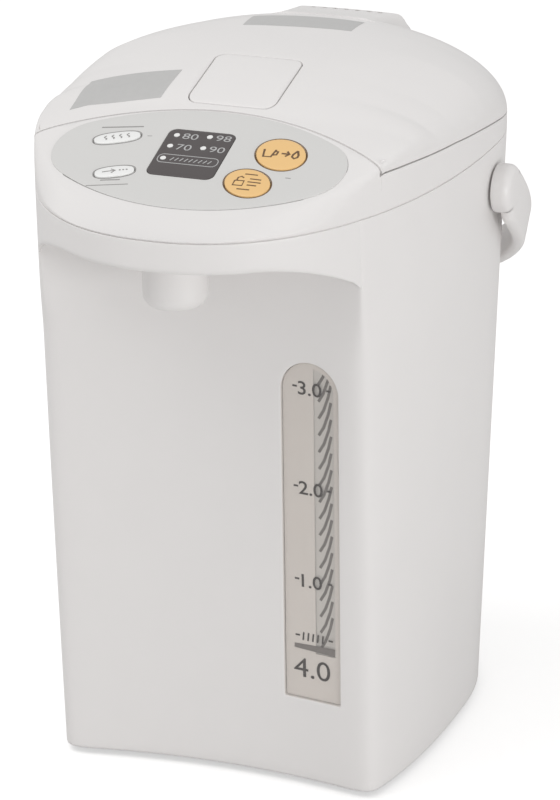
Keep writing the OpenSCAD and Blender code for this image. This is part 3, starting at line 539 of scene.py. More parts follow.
BODY_TOP = SEAM_Z - 0.5
SEAM_ROLL = 0.45
RIM_ROLL = 2.0
RIM_ROWS = 8
SEAM_ROWS = 7
FACE_ROWS = 90
ARCH_BEND = 8.0
ARCH_LIP = 3.2
BEND_SHARE = 0.44  # of the arch's depth, where it is shallow
GAUGE_ROWS = slice(20, 60)  # rows that cross the gauge's window
SOCKET_ROWS = slice(12, 40)  # rows that cross the socket's opening
SOCKET_W = 45.6
SOCKET_H = 29.6
SOCKET_Z = 40.0


def bend(a, b, c, count):
    """A soft bend from a to c round the corner b."""
    a, b, c = (np.array(p) for p in (a, b, c))
    return [tuple((1 - s) ** 2 * a + 2 * s * (1 - s) * b + s * s * c)
            for s in [k / count for k in range(count + 1)]]


def rim_rows(t, radius):
    """The rolled lower rim at angle t, from inside to outside: RIM_ROWS points."""
    rows = [spot(t, radius(t, z) - WALL, z) for z in (RIM_Z + 9, RIM_Z + 0.6)]
    for a in quarter(5):
        z = RIM_Z + RIM_ROLL * (1 - math.cos(a))
        rows.append(spot(t, radius(t, z) - RIM_ROLL * (1 - math.sin(a)), z))
    return rows


def seam_rows(t, radius):
    """The rolled upper edge at angle t, from outside to inside: SEAM_ROWS points."""
    rows = []
    for a in quarter(4):
        z = BODY_TOP - SEAM_ROLL * (1 - math.sin(a))
        rows.append(spot(t, radius(t, z) - SEAM_ROLL * (1 - math.cos(a)), z))
    return rows + [spot(t, radius(t, z) - WALL, z) for z in (BODY_TOP, BODY_TOP - 9)]


def front_column(u):
    """One upright line of the front: face, arch roof, then the hood's outside. u is -1 to 1."""
    side = 1 if u >= 0 else -1
    u = abs(u)

    def turned(z):
        return u * corner(z)

    def face_at(z):
        t = turned(z)
        return spot(t, shell_radius(t, z), z)

    def hood_radius(t, z):
        near = clamp(1 - (1 - u) / HOOD_SHARE) ** 2
        return tower_radius(t, z) * (1 - corner_loss(z) * near)

    def hood_at(z):
        t = turned(z)
        return spot(t, hood_radius(t, z), z)

    low = bisect(lambda z: roof_z(face_at(z)[0]) - z, 200, ARCH_Z + 0.001)
    high = bisect(lambda z: roof_z(hood_at(z)[0]) - z, 200, ARCH_Z + 0.001)
    roof = []
    for k in range(41):
        s = k / 40
        z = mix(low, high, s)
        for _ in range(4):
            t = turned(z)
            r = mix(shell_radius(t, z), hood_radius(t, z), s)
            z = roof_z(r * math.sin(t)) if 0 < s < 1 else z
        t = turned(z)
        roof.append(spot(t, mix(shell_radius(t, z), hood_radius(t, z), s), z))
    run = np.concatenate([[0], np.cumsum([math.dist(a, b) for a, b in zip(roof, roof[1:])])])
    length = run[-1]
    inner = min(ARCH_BEND, BEND_SHARE * length)
    lip = min(ARCH_LIP, BEND_SHARE * length)
    arr = np.array(roof)

    def on_roof(d):
        return tuple(float(np.interp(d, run, arr[:, k])) for k in range(3))

    start = RIM_Z + RIM_ROLL
    z_face = [mix(start, low - inner, s) for s in np.linspace(0, 1, FACE_ROWS)]
    line = rim_rows(turned(start), lambda t, z: shell_radius(turned(z), z))
    line += [face_at(z) for z in z_face[1:]]
    line += bend(face_at(low - inner), roof[0], on_roof(inner), 10)[1:]
    line += [on_roof(mix(inner, length - lip, s)) for s in np.linspace(0, 1, 9)[1:]]
    line += bend(on_roof(length - lip), roof[-1], hood_at(high + lip), 8)[1:]
    line += [hood_at(mix(high + lip, BODY_TOP - SEAM_ROLL, s)) for s in np.linspace(0, 1, 10)[1:-1]]
    line += seam_rows(turned(BODY_TOP), hood_radius)
    return [(side * p[0], p[1], p[2]) for p in line]


def back_column(v, heights):
    """One upright line of the round back; v runs from 0 at one corner to 1 at the other."""

    def turned(z):
        return mix(corner(z), math.tau - corner(z), v)

    def radius(t, z):
        e = face_radius(t, z)
        a = tower_radius(t, z)
        if a < 0.7 * e:
            return a
        p = corner_power(z)
        return a * (1 + min(a / e, 1.0) ** p) ** (-1 / p)

    start = RIM_Z + RIM_ROLL
    line = rim_rows(turned(start), radius)
    line += [spot(turned(z), radius(turned(z), z), z) for z in heights]
    line += seam_rows(turned(BODY_TOP), radius)
    return line


def gauge_mid(z):
    """Middle of the gauge, which leans a little."""
    return GAUGE_X + GAUGE_LEAN * (z - GAUGE_LOW)


def gauge_outline(grow=0.0, step=2.0):
    """Arch-topped outline in x and z."""
    half = GAUGE_W / 2 + grow
    low = GAUGE_LOW - grow
    side = [(half, z) for z in np.arange(low + 1.2, GAUGE_SPRING, step)]
    other = [(-half, z) for z in np.arange(GAUGE_SPRING, low + 1.2, -step)]
    foot = arc(half - 1.2, low + 1.2, 1.2, -math.pi / 2, 0, 4)
    foot_l = arc(-half + 1.2, low + 1.2, 1.2, math.pi, math.pi * 1.5, 4)
    loop = foot + side + arc(0, GAUGE_SPRING, half, 0, math.pi, 30) + other + foot_l
    return tidy_loop([(gauge_mid(z) + x, z) for x, z in loop])


def window(skin, rows, left, right, low_z, high_z, flip):
    """Lays rows round a window and returns its loop in x and z; flip where x falls along a row."""
    zs = [[p[2] for p in row[left:right + 1]] for row in rows]
    low = max(i for i, row in enumerate(zs) if max(row) < low_z)
    high = min(i for i, row in enumerate(zs) if min(row) > high_z)
    skin.grid([row[:left + 1] for row in rows])
    skin.grid([row[right:] for row in rows])
    skin.grid([row[left:right + 1] for row in rows[:low + 1]])
    skin.grid([row[left:right + 1] for row in rows[high:]])
    across = range(left, right + 1)
    if flip:
        across = across[::-1]
    ring = [rows[low][j] for j in across] + [rows[i][across[-1]] for i in range(low + 1, high + 1)]
    ring += [rows[high][j] for j in across[-2::-1]] + [rows[i][across[0]] for i in range(high - 1, low, -1)]
    return [(p[0], p[2]) for p in ring]


def body_moulding():
    skin = Skin()
    columns = [front_column(u) for u in eased(0.6, 131)]
    rows = as_rows(columns)
    # the face, broken by the gauge's window
    xs = np.array([[p[0] for p in row] for row in rows[GAUGE_ROWS]])
    half = GAUGE_W / 2 + 1.5
    left = max(j for j in range(len(columns)) if xs[:, j].max() < gauge_mid(GAUGE_LOW) - half)
    right = min(j for j in range(len(columns)) if xs[:, j].min() > gauge_mid(GAUGE_TOP) + half)
    ring = window(skin, rows, left, right, GAUGE_LOW - 2, GAUGE_TOP + 2, False)
    hole = gauge_outline(0.25)
    skin.patch(ring, [offset_loop(hole, 0.35)], front_spot, 4.0)
    skin.edge(hole, 1, gauge_place, 0.35, 3.0)
    # the round back, broken by the socket's opening
    heights = tidy_heights([p[2] for p in columns[-1][RIM_ROWS:-SEAM_ROWS]])
    wraps = [0.5 + 0.5 * w for w in eased(0.85, 221)]
    rows = as_rows([back_column(v, heights) for v in wraps])
    xs = np.array([[p[0] for p in row] for row in rows[SOCKET_ROWS]])
    mid = len(wraps) // 2
    left = max(j for j in range(mid) if xs[:, j].min() > SOCKET_W / 2 + 2)
    right = min(j for j in range(mid, len(wraps)) if xs[:, j].max() < -SOCKET_W / 2 - 2)
    reach = SOCKET_H / 2 + 2
    ring = window(skin, rows, left, right, SOCKET_Z - reach, SOCKET_Z + reach, True)
    hole = round_rect(0, SOCKET_Z, SOCKET_W, SOCKET_H, 3.0)
    skin.patch(ring, [offset_loop(hole, 0.8)], back_spot, 5.0)
    skin.edge(hole, 1, back_place, 0.8, 3.0)
    skin.build("body_moulding", "white_body", stands_for=["body_shell"], weld=0.03, sharp=50)


def tidy_heights(zs):
    kept = []
    for z in zs:
        if not kept or z - kept[-1] > 0.02:
            kept.append(z)
    return kept


def gauge_place(x, z, w):
    """w millimetres out from the front face at x, z."""
    p = front_spot(x, z)
    q = front_spot(x + 0.5, z)
    slope = (q[1] - p[1]) / 0.5
    n = Vector((slope, -1.0, -LEAN)).normalized()
    return (p[0] + n.x * w, p[1] + n.y * w, p[2] + n.z * w)


def back_place(x, z, w):
    p = back_spot(x, z)
    return (p[0], p[1] + w, p[2])


# ---- head surface

# height of the seam between lid and ring, and power of the head's cross section, along y
SEAM_LINE = [(-181, 305), (-150, 308), (-135, 312), (-114, 318.5), (-105, 320.8), (-86, 320.5),
             (-43, 318.7), (-10, 316), (16, 313.5), (60, 308.5), (90, 306), (110, 305.5)]
CROWN = [(-181, 2.6), (-160, 2.8), (-142, 4.5), (-126, 7), (-100, 7), (-80, 4), (-60, 2.4), (-40, 2.2),
         (0, 2.5), (40, 2.1), (110, 2)]
NOSE_Y = -153.2
NOSE_Z = 309.6
NOSE_SLOPE = 0.2
NOSE_EASE = 8.0
DOME_FRONT_Y = -80.2
DOME_FRONT_Z = 335.15
DOME_Y = 10.0
DOME_REACH = 99.6
REAR_Z = 306.0


def head_outline(t):
    return outline_radius(t, TOP["half"], TOP["front"], TOP["back"], TOP["square"])


def half_width(y):
    deep = TOP["front"] if y < TOP["mid"] else TOP["back"]
    q = min(abs(y - TOP["mid"]) / deep, 1)
    return TOP["half"] * max(1 - q ** TOP["square"], 0) ** (1 / TOP["square"])


def look_up(table, y):
    return float(np.interp(y, [k for k, _ in table], [v for _, v in table]))


def edge_z(y):
    return look_up(SEAM_LINE, y)


def centre_z(y):
    """Height of the head along its middle: nose, panel, front of the dome, back of the dome."""
    if y < NOSE_Y:
        down = y - NOSE_Y
        ease = NOSE_EASE * (1 - math.exp(down / NOSE_EASE))
        return NOSE_Z + NOSE_SLOPE * down - (PANEL_SLOPE - NOSE_SLOPE) * ease
    if y < DOME_FRONT_Y:
        return PANEL_Z + PANEL_SLOPE * (y - PANEL_Y)
    if y < DOME_Y:
        return DOME_Z - (DOME_Z - DOME_FRONT_Z) * ((DOME_Y - y) / (DOME_Y - DOME_FRONT_Y)) ** 2.6
    return REAR_Z + (DOME_Z - REAR_Z) * max(1 - ((y - DOME_Y) / DOME_REACH) ** 2.4, 0) ** 0.5


def head_z(x, y):
    w = half_width(y)
    s = min(abs(x) / w, 1) if w > 0.001 else 1.0
    c = centre_z(y)
    e = min(edge_z(y), c - 0.3)
    p = look_up(CROWN, y)
    return e + (c - e) * max(1 - s ** p, 0) ** (1 / p)


def on_head(x, y, w=0.0):
    """The point w above the head's surface at x, y."""
    return (x, y, head_z(x, y) + w)


def arc_y(x):
    return ARC_FRONT - ARC_BOW * x * x


def head_spot(t, inset):
    r = head_outline(t) - inset
    return r * math.sin(t), TOP["mid"] - r * math.cos(t)


def arc_angle(inset, shift):
    """Angle at which the outline, inset, meets the lid's front arc moved back by shift."""
    def ahead(t):
        x, y = head_spot(t, inset)
        return arc_y(x) + shift - y
    return bisect(ahead, 0.2, 1.8)


# ---- head ring

DECK_BAND = 12.6
DECK_ROLL = 0.4
DECK_WIDE = 11.0
DECK_DROP = 9.0
WALL_ROLL = 0.3
RING_LOW = SEAM_Z
RING_ROLL = 0.45
RING_ANGLE = arc_angle(0.0, -DECK_ROLL)
DECK_ROW = 14  # first row of the deck, past the lower roll and the outer wall


def band_growth(t):
    """The rounding is wider in front of the panel than beside the panel's ends."""
    k = min(abs(t) / 0.4, 1)
    return 1 + 0.8 * (1 - k * k) ** 2


def deck_z(x, y, inset, t):
    """Deck height, its outer edge rounded over; the rounding is widest in front."""
    h = head_z(x, y)
    fade = clamp(1 - (abs(t) / RING_ANGLE) ** 3)
    wide = 1.0 + DECK_WIDE * fade * band_growth(t)
    if inset >= wide:
        return h
    k = 1 - inset / wide
    most = h - (SEAM_Z + 0.6)
    soft = 0.4 * k ** 2 + 0.6 * (1 - math.sqrt(max(1 - k * k, 0)))
    return h - mix(0.3, min(most, DECK_DROP), fade) * soft


def lower_roll(t):
    """Rolled lower edge of the ring, from inside to outside: 7 points."""
    x, y = head_spot(t, WALL)
    rows = [(x, y, min(RING_LOW + 6, deck_z(x, y, WALL, t) - 0.6)), (x, y, RING_LOW)]
    return rows + [head_spot(t, RING_ROLL * (1 - math.sin(a))) + (RING_LOW + RING_ROLL * (1 - math.cos(a)),)
                   for a in quarter(4)]


def front_arc(x_from, shift, count):
    """Points along the lid's front arc from x_from to the other side, moved back by shift."""
    return [(x, arc_y(x) + shift) for x in [mix(x_from, -x_from, k / count) for k in range(count + 1)]]


def hang(skin, line, roll, way, bottom):
    """A wall under a line of the surface, its edge rolled: way is 1 towards the back, -1 to the front."""
    wall = [[(x, y + way * roll * math.sin(a), z - roll * (1 - math.cos(a))) for x, y, z in line]
            for a in quarter(4)]
    wall.append([(x, y + way * roll, bottom(z)) for x, y, z in line])
    skin.grid(wall)


def head_moulding():
    skin = Skin()
    insets = [DECK_BAND * (k / 22) ** 1.7 for k in range(23)]
    spans = [arc_angle(d, -DECK_ROLL) for d in insets]
    columns = []
    for u in eased(0.5, 151):
        line = lower_roll(u * spans[0])
        x, y = head_spot(u * spans[0], 0)
        top = deck_z(x, y, 0, u * spans[0])
        line += steps_up(x, y, RING_LOW + RING_ROLL, top, 8)
        for d, span in list(zip(insets, spans))[1:]:
            inset = d * band_growth(u * span)
            x, y = head_spot(u * span, inset)
            line.append((x, y, deck_z(x, y, inset, u * span)))
        columns.append(line)
    rows = as_rows(columns)
    skin.grid(rows)
    inner = rows[-1]
    arc_line = front_arc(inner[-1][0], -DECK_ROLL, 80)
    loop = tidy_loop([p[:2] for p in inner] + arc_line[1:-1])
    hole = panel_outline(0.05)
    flat = [panel_point(u, v, 0)[:2] for u, v in offset_loop(hole, 0.3)]
    skin.patch(loop, [flat], on_head, 3.0)
    # edge of the panel's seat
    seat = []
    for off, down in edge_profile(0.3, 1.6):
        spots = [panel_point(u, v, 0) for u, v in offset_loop(hole, off)]
        seat.append([on_head(x, y, -down) for x, y, _ in spots])
    skin.grid(seat, closed=True)
    # front wall of the lid's opening
    deck = rows[DECK_ROW:]
    middle = [on_head(x, y) for x, y in arc_line[1:-1]]
    hang(skin, [r[-1] for r in deck] + middle + [r[0] for r in deck][::-1], DECK_ROLL, 1,
         lambda z: min(z - 1, REAR_Z))
    # low wall round the sides and back
    columns = []
    for w in eased(0.3, 201):
        t = mix(spans[0], math.tau - spans[0], 0.5 + 0.5 * w)
        line = lower_roll(t)
        x, y = head_spot(t, 0)
        top = edge_z(y)
        line += steps_up(x, y, RING_LOW + RING_ROLL, top - WALL_ROLL, 8)
        line += [head_spot(t, WALL_ROLL * (1 - math.cos(a))) + (top - WALL_ROLL * (1 - math.sin(a)),)
                 for a in quarter(4)[1:]]
        line += [head_spot(t, inset) + (z,)
                 for inset, z in [(WALL - WALL_ROLL, top), (WALL, top - WALL_ROLL), (WALL, RING_LOW + 0.5)]]
        columns.append(line)
    skin.grid(as_rows(columns))
    skin.build("head_moulding", "white_body", stands_for=["head_ring"], weld=0.02)


def seam_tongue():
    """The ring's tongue that stands behind the gap between body and head."""
    skin = Skin()
    rows = []
    for inset, z in [(0.9, SEAM_Z + 0.3), (0.9, SEAM_Z - 3), (2.2, SEAM_Z - 3), (2.2, SEAM_Z + 0.3)]:
        rows.append([head_spot(math.tau * i / 200, inset) + (z,) for i in range(200)])
    skin.grid(rows, closed=True)
    skin.build("seam_tongue", "white_body")


# ---- control panel

def panel_point(u, v, w):
    """From the panel's own flat coordinates to the part's frame."""
    c = math.cos(PANEL_ANGLE)
    s = math.sin(PANEL_ANGLE)
    return (u, PANEL_Y + v * c - w * s, PANEL_Z + v * s + w * c)


def panel_v(y):
    return (y - PANEL_Y) / math.cos(PANEL_ANGLE)


def panel_outline(grow=0.0):
    """Eye-shaped outline: two wide arcs with rounded tips."""
    r = TIP_R + grow
    tip = PANEL_HALF - TIP_R
    far_mid = panel_v(PANEL_FAR) - FAR_R
    near_mid = panel_v(PANEL_NEAR) + NEAR_R
    far_y = far_mid + math.sqrt((FAR_R - TIP_R) ** 2 - tip ** 2)
    near_y = near_mid - math.sqrt((NEAR_R - TIP_R) ** 2 - tip ** 2)
    a = math.atan2(far_y - far_mid, tip)
    b = math.atan2(near_mid - near_y, tip)
    loop = arc(tip, near_y, r, -b, 0, 16) + arc(tip, far_y, r, 0, a, 16)
    loop += arc(0, far_mid, FAR_R + grow, a, math.pi - a, 60)
    loop += arc(-tip, far_y, r, math.pi - a, math.pi, 16) + arc(-tip, near_y, r, math.pi, math.pi + b, 16)
    loop += arc(0, near_mid, NEAR_R + grow, math.pi + b, math.tau - b, 60)
    return tidy_loop(loop)


# buttons: middle, half length, half height and turn in the panel's plane
DISPENSE = (38.0, panel_v(-107.6), 13.2, 10.8, math.radians(-36))
UNLOCK = (29.8, panel_v(-130.1), 12.0, 9.6, math.radians(-31))
BOIL = (-44.3, panel_v(-107.1), 11.1, 4.2, math.radians(21))
SELECT = (-35.7, panel_v(-131.7), 9.4, 4.1, math.radians(20))
DISPLAY = (-4.4, panel_v(-113.4))
DISPLAY_W = 33.2
DISPLAY_H = 36.2
LENSES = [(-12.1, 13.2), (4.2, 14.1), (-12.3, 4.5), (4.1, 5.1), (-12.2, -5.2)]
PANEL_TOP = 0.15
BUTTON_TOP = 1.0


def on_panel(height):
    return lambda u, v, w=0.0: panel_point(u, v, height + w)


def button_outline(at, grow=0.0, count=96):
    """Rounded outline of a button, a little squarer than an ellipse for the two slim ones."""
    cx, cy, a, b, turn = at
    power = 2 / 2.6 if a > 2 * b else 1.0
    loop = []
    for i in range(count):
        c, s = math.cos(math.tau * i / count), math.sin(math.tau * i / count)
        x = math.copysign(abs(c) ** power, c) * (a + grow)
        y = math.copysign(abs(s) ** power, s) * (b + grow)
        loop.append(turned(cx, cy, turn, x, y))
    return loop


def button_face(at):
    """Places points on a button's slightly domed top."""
    cx, cy, a, b, turn = at

    def place(u, v, w=0.0):
        x = (u - cx) * math.cos(turn) + (v - cy) * math.sin(turn)
        y = (v - cy) * math.cos(turn) - (u - cx) * math.sin(turn)
        return panel_point(u, v, BUTTON_TOP - 0.35 * ((x / a) ** 2 + (y / b) ** 2) + w)
    return place


def control_panel():
    holes = [button_outline(at, 0.35) for at in (DISPENSE, UNLOCK, BOIL, SELECT)]
    holes.append(round_rect(*DISPLAY, DISPLAY_W + 0.4, DISPLAY_H + 0.4, 4.0))
    slab("panel_film", panel_outline(-0.08), on_panel(PANEL_TOP), "silver_panel", holes=holes, roll=0.2,
         depth=0.9, step=5, stands_for=["control_panel"])


def button(name, at, material, body, node):
    slab(name, button_outline(at), button_face(at), material, roll=0.6, depth=4.0, step=2.2, body=body,
         stands_for=[node])


def stroke(points, wide, place, skin, lift=0.05):
    """A printed line: a thin raised ribbon along the points."""
    p = np.array(points, float)
    ahead = np.gradient(p, axis=0)
    ahead /= np.maximum(np.linalg.norm(ahead, axis=1)[:, None], 1e-9)
    side = np.stack([-ahead[:, 1], ahead[:, 0]], axis=1) * wide / 2
    rows = []
    for k, h in [(-1, 0.0), (-0.9, lift), (0.9, lift), (1, 0.0)]:
        rows.append([place(q[0], q[1], h) for q in p + side * k])
    skin.grid(rows)


def dot(cx, cy, r, place, skin, lift=0.05):
    ring = oval(cx, cy, r, r, 20)
    skin.grid([[place(u, v, 0.0) for u, v in ring],
               [place(cx + (u - cx) * 0.9, cy + (v - cy) * 0.9, lift) for u, v in ring],
               [place(cx, cy, lift)] * 20], closed=True)


def lettering(text, height, at, place, skin, lift=0.05, squeeze=1.0, bold=0.0):
    """Plain numbers as thin printed shapes, centred at a place."""
    curve = bpy.data.curves.new("numbers", "FONT")
    curve.body = text
    curve.align_x = "CENTER"
    curve.align_y = "CENTER"
    curve.size = 1.0
    curve.offset = bold
    curve.resolution_u = 5
    obj = bpy.data.objects.new("numbers", curve)
    bpy.context.scene.collection.objects.link(obj)
    bpy.context.view_layer.update()
    mesh = bpy.data.meshes.new_from_object(obj)
    base = len(skin.verts)
    ys = [v.co.y for v in mesh.vertices]
    xs = [v.co.x for v in mesh.vertices]
    mid_y = (min(ys) + max(ys)) / 2
    mid_x = (min(xs) + max(xs)) / 2
    k = height / (max(ys) - min(ys))
    for v in mesh.vertices:
        skin.verts.append(place(at[0] + (v.co.x - mid_x) * k * squeeze, at[1] + (v.co.y - mid_y) * k, lift))
    for p in mesh.polygons:
        skin.faces.append(tuple(base + i for i in p.vertices))
    bpy.data.objects.remove(obj)
    bpy.data.curves.remove(curve)
    bpy.data.meshes.remove(mesh)


def display():
    cx, cy = DISPLAY
    holes = [oval(cx + x, cy + y, 1.45, 1.45, 24) for x, y in LENSES]
    slab("display_glass", round_rect(cx, cy, DISPLAY_W, DISPLAY_H, 3.9), on_panel(0.3), "dark_window",
         holes=holes, roll=0.25, depth=1.0, step=4, stands_for=["display_window"])
    skin = Skin()
    place = on_panel(0.3)
    for (x, y), text in zip(LENSES, ["80", "98", "70", "90"]):
        lettering(text, 4.4, (cx + x + 7.0, cy + y - 0.2), place, skin, squeeze=1.3)
    edge = round_rect(cx + 0.1, cy - 5.2, 29.8, 6.4, 2.6)
    stroke(edge + edge[:1], 0.45, place, skin)
    # a row of short leaning strokes beside the last lens
    for k in range(9):
        x = cx - 8.4 + k * 2.35
        stroke([(x, cy - 6.5), (x + 1.3, cy - 4.1)], 0.55, place, skin)
    skin.build("display_print", "print_light", sharp=60)


def panel_print():
    place = on_panel(PANEL_TOP)
    skin = Skin()
    for line, wide in [([(-54.7, 36.4), (-34.9, 40.3)], 0.9), ([(-40.0, -3.8), (-30.9, -1.8)], 0.8),
                       ([(-45.2, -9.0), (-25.8, -4.5)], 0.6), ([(-30.4, 33.4), (-28.2, 33.7)], 0.4),
                       ([(46.0, 12.2), (48.6, 12.2)], 0.5)]:
        stroke(resample(line, 6), wide, place, skin)
    skin.build("panel_marks", "print_grey")
    # fine outlines of the four buttons
    for name, material, places in [("oval_outlines", "print_grey", [BOIL, SELECT]),
                                   ("round_outlines", "print_brown", [DISPENSE, UNLOCK])]:
        skin = Skin()
        for at in places:
            loop = button_outline(at, 0.65)
            stroke(loop + loop[:1], 0.5, place, skin)
        skin.build(name, material)


def sign(name, body, material, at, wide, lines, turn=0.0, stretch=(1, 1), dots=()):
    """Lines and dots, given from the button's middle, as print on its top."""
    skin = Skin()
    place = button_face(at)
    for line in lines:
        stroke([turned(*at[:2], turn, a * stretch[0], b * stretch[1]) for a, b in line], wide, place, skin,
               lift=0.07)
    for a, b in dots:
        dot(*turned(*at[:2], turn, a, b), 0.5, place, skin)
    skin.build(name, material, body=body)


def button_marks():
    """Generic signs: a cup being filled, a padlock, heat waves and a step arrow."""
    cup = [[(-8.6, 1.9), (-7.6, -2.4), (-3.9, -2.4), (-2.9, 1.9)],
           [(-3.1, 1.0), (-1.6, 0.9), (-1.7, -1.0), (-3.6, -1.2)]]
    arrow = [[(0.4, 0.1), (4.0, 0.1)], [(2.6, 1.6), (4.2, 0.1), (2.6, -1.4)]]
    drop = [[(7.2, 2.6), (5.9, 0.2), (5.9, -1.2), (7.2, -2.1), (8.5, -1.2), (8.5, 0.2), (7.2, 2.6)]]
    sign("dispense_sign", "dispense", "print_brown", DISPENSE, 1.1, cup + arrow + drop, stretch=(1.02, 1.3))
    lock = [[(-6.2, 0.6), (-6.2, -3.0), (-1.6, -3.0), (-1.6, 0.6), (-6.2, 0.6)],
            [(-5.3, 0.8), (-5.3, 2.9), (-3.9, 3.9), (-2.5, 2.9)]]
    bars = [[(-3.0, 6.0), (3.2, 6.0)], [(-3.2, -5.6), (3.0, -5.6)]]
    for k, (a, b) in enumerate([(0.6, 6.0), (0.2, 6.6), (0.6, 5.2)]):
        bars.append([(a, 2.6 - 2.4 * k), (b, 2.6 - 2.4 * k)])
    sign("unlock_sign", "unlock", "print_brown", UNLOCK, 0.8, lock + bars)
    waves = [[(-5.4 + k * 3.6 + 0.55 * math.sin(s * 2.4), -1.6 + s * 1.05) for s in np.linspace(0, 3, 13)]
             for k in range(4)]
    sign("boil_sign", "boil", "print_grey", BOIL, 0.6, waves, turn=BOIL[4])
    step = [[(-5.6, 0.0), (0.4, 0.0)], [(-1.4, 1.5), (0.6, 0.0), (-1.4, -1.5)]]
    sign("select_sign", "select", "print_grey", SELECT, 0.65, step, turn=SELECT[4],
         dots=[(2.7 + 1.6 * k, 0.0) for k in range(3)])


def turned(x, y, turn, a, b):
    """The point (a, b) turned and moved to x, y."""
    return (x + a * math.cos(turn) - b * math.sin(turn), y + a * math.sin(turn) + b * math.cos(turn))


# ---- lid

LID_ROLL = 0.4
LID_UP = 0.7  # gap between the ring's low wall and the lid
LID_BAND = 34.0
NOTCH_X = 28.0
NOTCH_Y = 97.5
LEVER = (0.0, -53.5, 44.0, 44.0, 5.5)
LEVER_WELL = 5.5
LID_ROW = 10  # first row of the lid's top, past its lower edge and its side


def lid_radius(t):
    """Outline of the lid: the head's, with the hinge notch cut out behind."""
    r = head_outline(t)
    s, c = math.sin(t), -math.cos(t)
    if c > 0.5 and abs(r * s) < NOTCH_X + 4:
        flat = (NOTCH_Y - TOP["mid"]) / c
        side = smooth((NOTCH_X + 1.2 - abs(flat * s)) / 1.2)
        return min(r, mix(r, flat, side))
    return r


def lid_spot(t, inset):
    r = lid_radius(t) - inset
    return r * math.sin(t), TOP["mid"] - r * math.cos(t)


def lid_moulding():
    skin = Skin()
    start = LID_GAP + LID_ROLL
    insets = [LID_BAND * (k / 26) ** 2 for k in range(27)]
    spans = [arc_angle(d, start) for d in insets]
    columns = []
    for v in np.linspace(0, 1, 361):
        line = []
        t = mix(spans[0], math.tau - spans[0], v)
        for inset, up in [(WALL, 5.0), (WALL, 0.0), (0.3, 0.0), (0.09, 0.09), (0.0, 0.3)]:
            x, y = lid_spot(t, inset)
            line.append((x, y, edge_z(y) + LID_UP + up))
        x, y = lid_spot(t, 0)
        low = edge_z(y) + LID_UP + 0.3
        line += steps_up(x, y, low, max(head_z(x, y), low), 6)
        for d, span in list(zip(insets, spans))[1:]:
            x, y = lid_spot(mix(span, math.tau - span, v), d)
            line.append((x, y, max(head_z(x, y), edge_z(y) + LID_UP + 0.3)))
        columns.append(line)
    rows = as_rows(columns)
    skin.grid(rows)
    inner = [p[:2] for p in rows[-1]]
    arc_line = front_arc(-inner[0][0], start, 90)
    loop = tidy_loop(inner + arc_line[1:-1])
    hole = offset_loop(round_rect(*LEVER), 0.55)
    skin.patch(loop, [offset_loop(hole, 0.45)], on_head, 3.0)
    skin.edge(hole, 1, on_head, 0.45, LEVER_WELL)
    skin.patch(hole, [], lambda x, y: on_head(x, y, -LEVER_WELL), 5.0)
    # front wall
    deck = rows[LID_ROW:]
    middle = [on_head(x, y) for x, y in arc_line[1:-1]]
    hang(skin, [r[0] for r in deck] + middle[::-1] + [r[-1] for r in deck][::-1], LID_ROLL, -1,
         lambda z: max(z - 12, 313))
    skin.build("lid_moulding", "white_body", body="lid", stands_for=["lid_outer"], weld=0.02)


def lever():
    slab("lever_cap", round_rect(*LEVER), lambda u, v, w: on_head(u, v, 0.05 + w), "white_body", roll=0.5,
         depth=3.0, step=3, body="lever", stands_for=["lid_lever"])


def soft_max(a, b, k):
    """The larger of two heights, blended over about k millimetres."""
    h = max(k - abs(a - b), 0) / k
    return max(a, b) + h * h * k / 4


def hump_z(x, y):
    """Raised cover behind: its top leans back, its sides lean out, and its front runs into the dome."""
    top = 347.3 - (y - 60) * 0.168 - 0.0008 * x * x
    side = 341.6 + (27.6 - abs(x)) * 1.75
    rear = 341.0 + (95.0 - y) * 5.0
    wall = -soft_max(-side, -rear, 4.0)
    return -soft_max(-top, -wall, 3.6)


def hump():
    """Cover over the steam outlet, with slots in its rear edge."""
    wide, front, rear = 38.0, 54.0, 97.5
    outline = round_rect(0, (front + rear) / 2, 2 * wide, rear - front, 4.0, 6)

    def place(x, y, w=0.0):
        low = head_z(x, y) - 0.6
        return (x, y, soft_max(hump_z(x, y), low, 3.0) + w)

    slots = [round_rect(x, 90.0, 2.6, 5.0, 1.2, 6) for x in range(-18, 19, 6)]
    slab("steam_hood", outline, place, "white_body", holes=slots, roll=0.3, depth=3.0, step=1.6,
         back=False, body="lid", stands_for=["steam_cover"])


FOIL_THICK = 0.14


def foils():
    shapes = {"front_foil": [(-76.6, -88.6), (-69, -84.1), (-35.2, -74.8), (-33.8, -50.4), (-52, -52.9),
                             (-78.6, -57.2)],
              "rear_foil": [(-27.8, 15.3), (-9, 16.8), (26.8, 21.2), (24.8, 46.7), (-10, 43.2),
                            (-31.7, 40.3)]}
    for name, points in shapes.items():
        loop = [p for ends in zip(points, points[1:] + points[:1]) for p in resample(ends, 8)[:-1]]
        slab(name, loop, lambda u, v, w: on_head(u, v, FOIL_THICK + w), "foil", roll=0.1, depth=FOIL_THICK,
             step=4, body="lid", back=False, stands_for=["lid_foils"] if name == "front_foil" else ())


# ---- spout

def spout():
    skin = Skin()
    low = SPOUT_LOW
    profile = [(4.5, 290.5), (4.5, low + 3.8), (4.7, low + 3.5), (7.4, low + 3.5), (7.7, low + 3.2)]
    profile += [(7.7, low + 0.4), (8.1, low), (9.2, low)]
    profile += [(9.2 + 6 * math.sin(a), low + 6 - 6 * math.cos(a))
                for a in np.linspace(0.12, math.pi / 2, 12)]
    profile += [(15.2, z) for z in np.linspace(low + 8, 286.2, 6)]
    profile += [(15.0, 286.6), (14.6, 286.8), (7.0, 286.8), (7.0, 290.8), (4.5, 290.8)]
    lathe(skin, profile, lambda x, y, z: (x, SPOUT_Y + y, z))
    skin.build("spout_nose", "white_body", stands_for=["spout"])


# ---- level gauge

INK = 0.12  # height of the print on the gauge


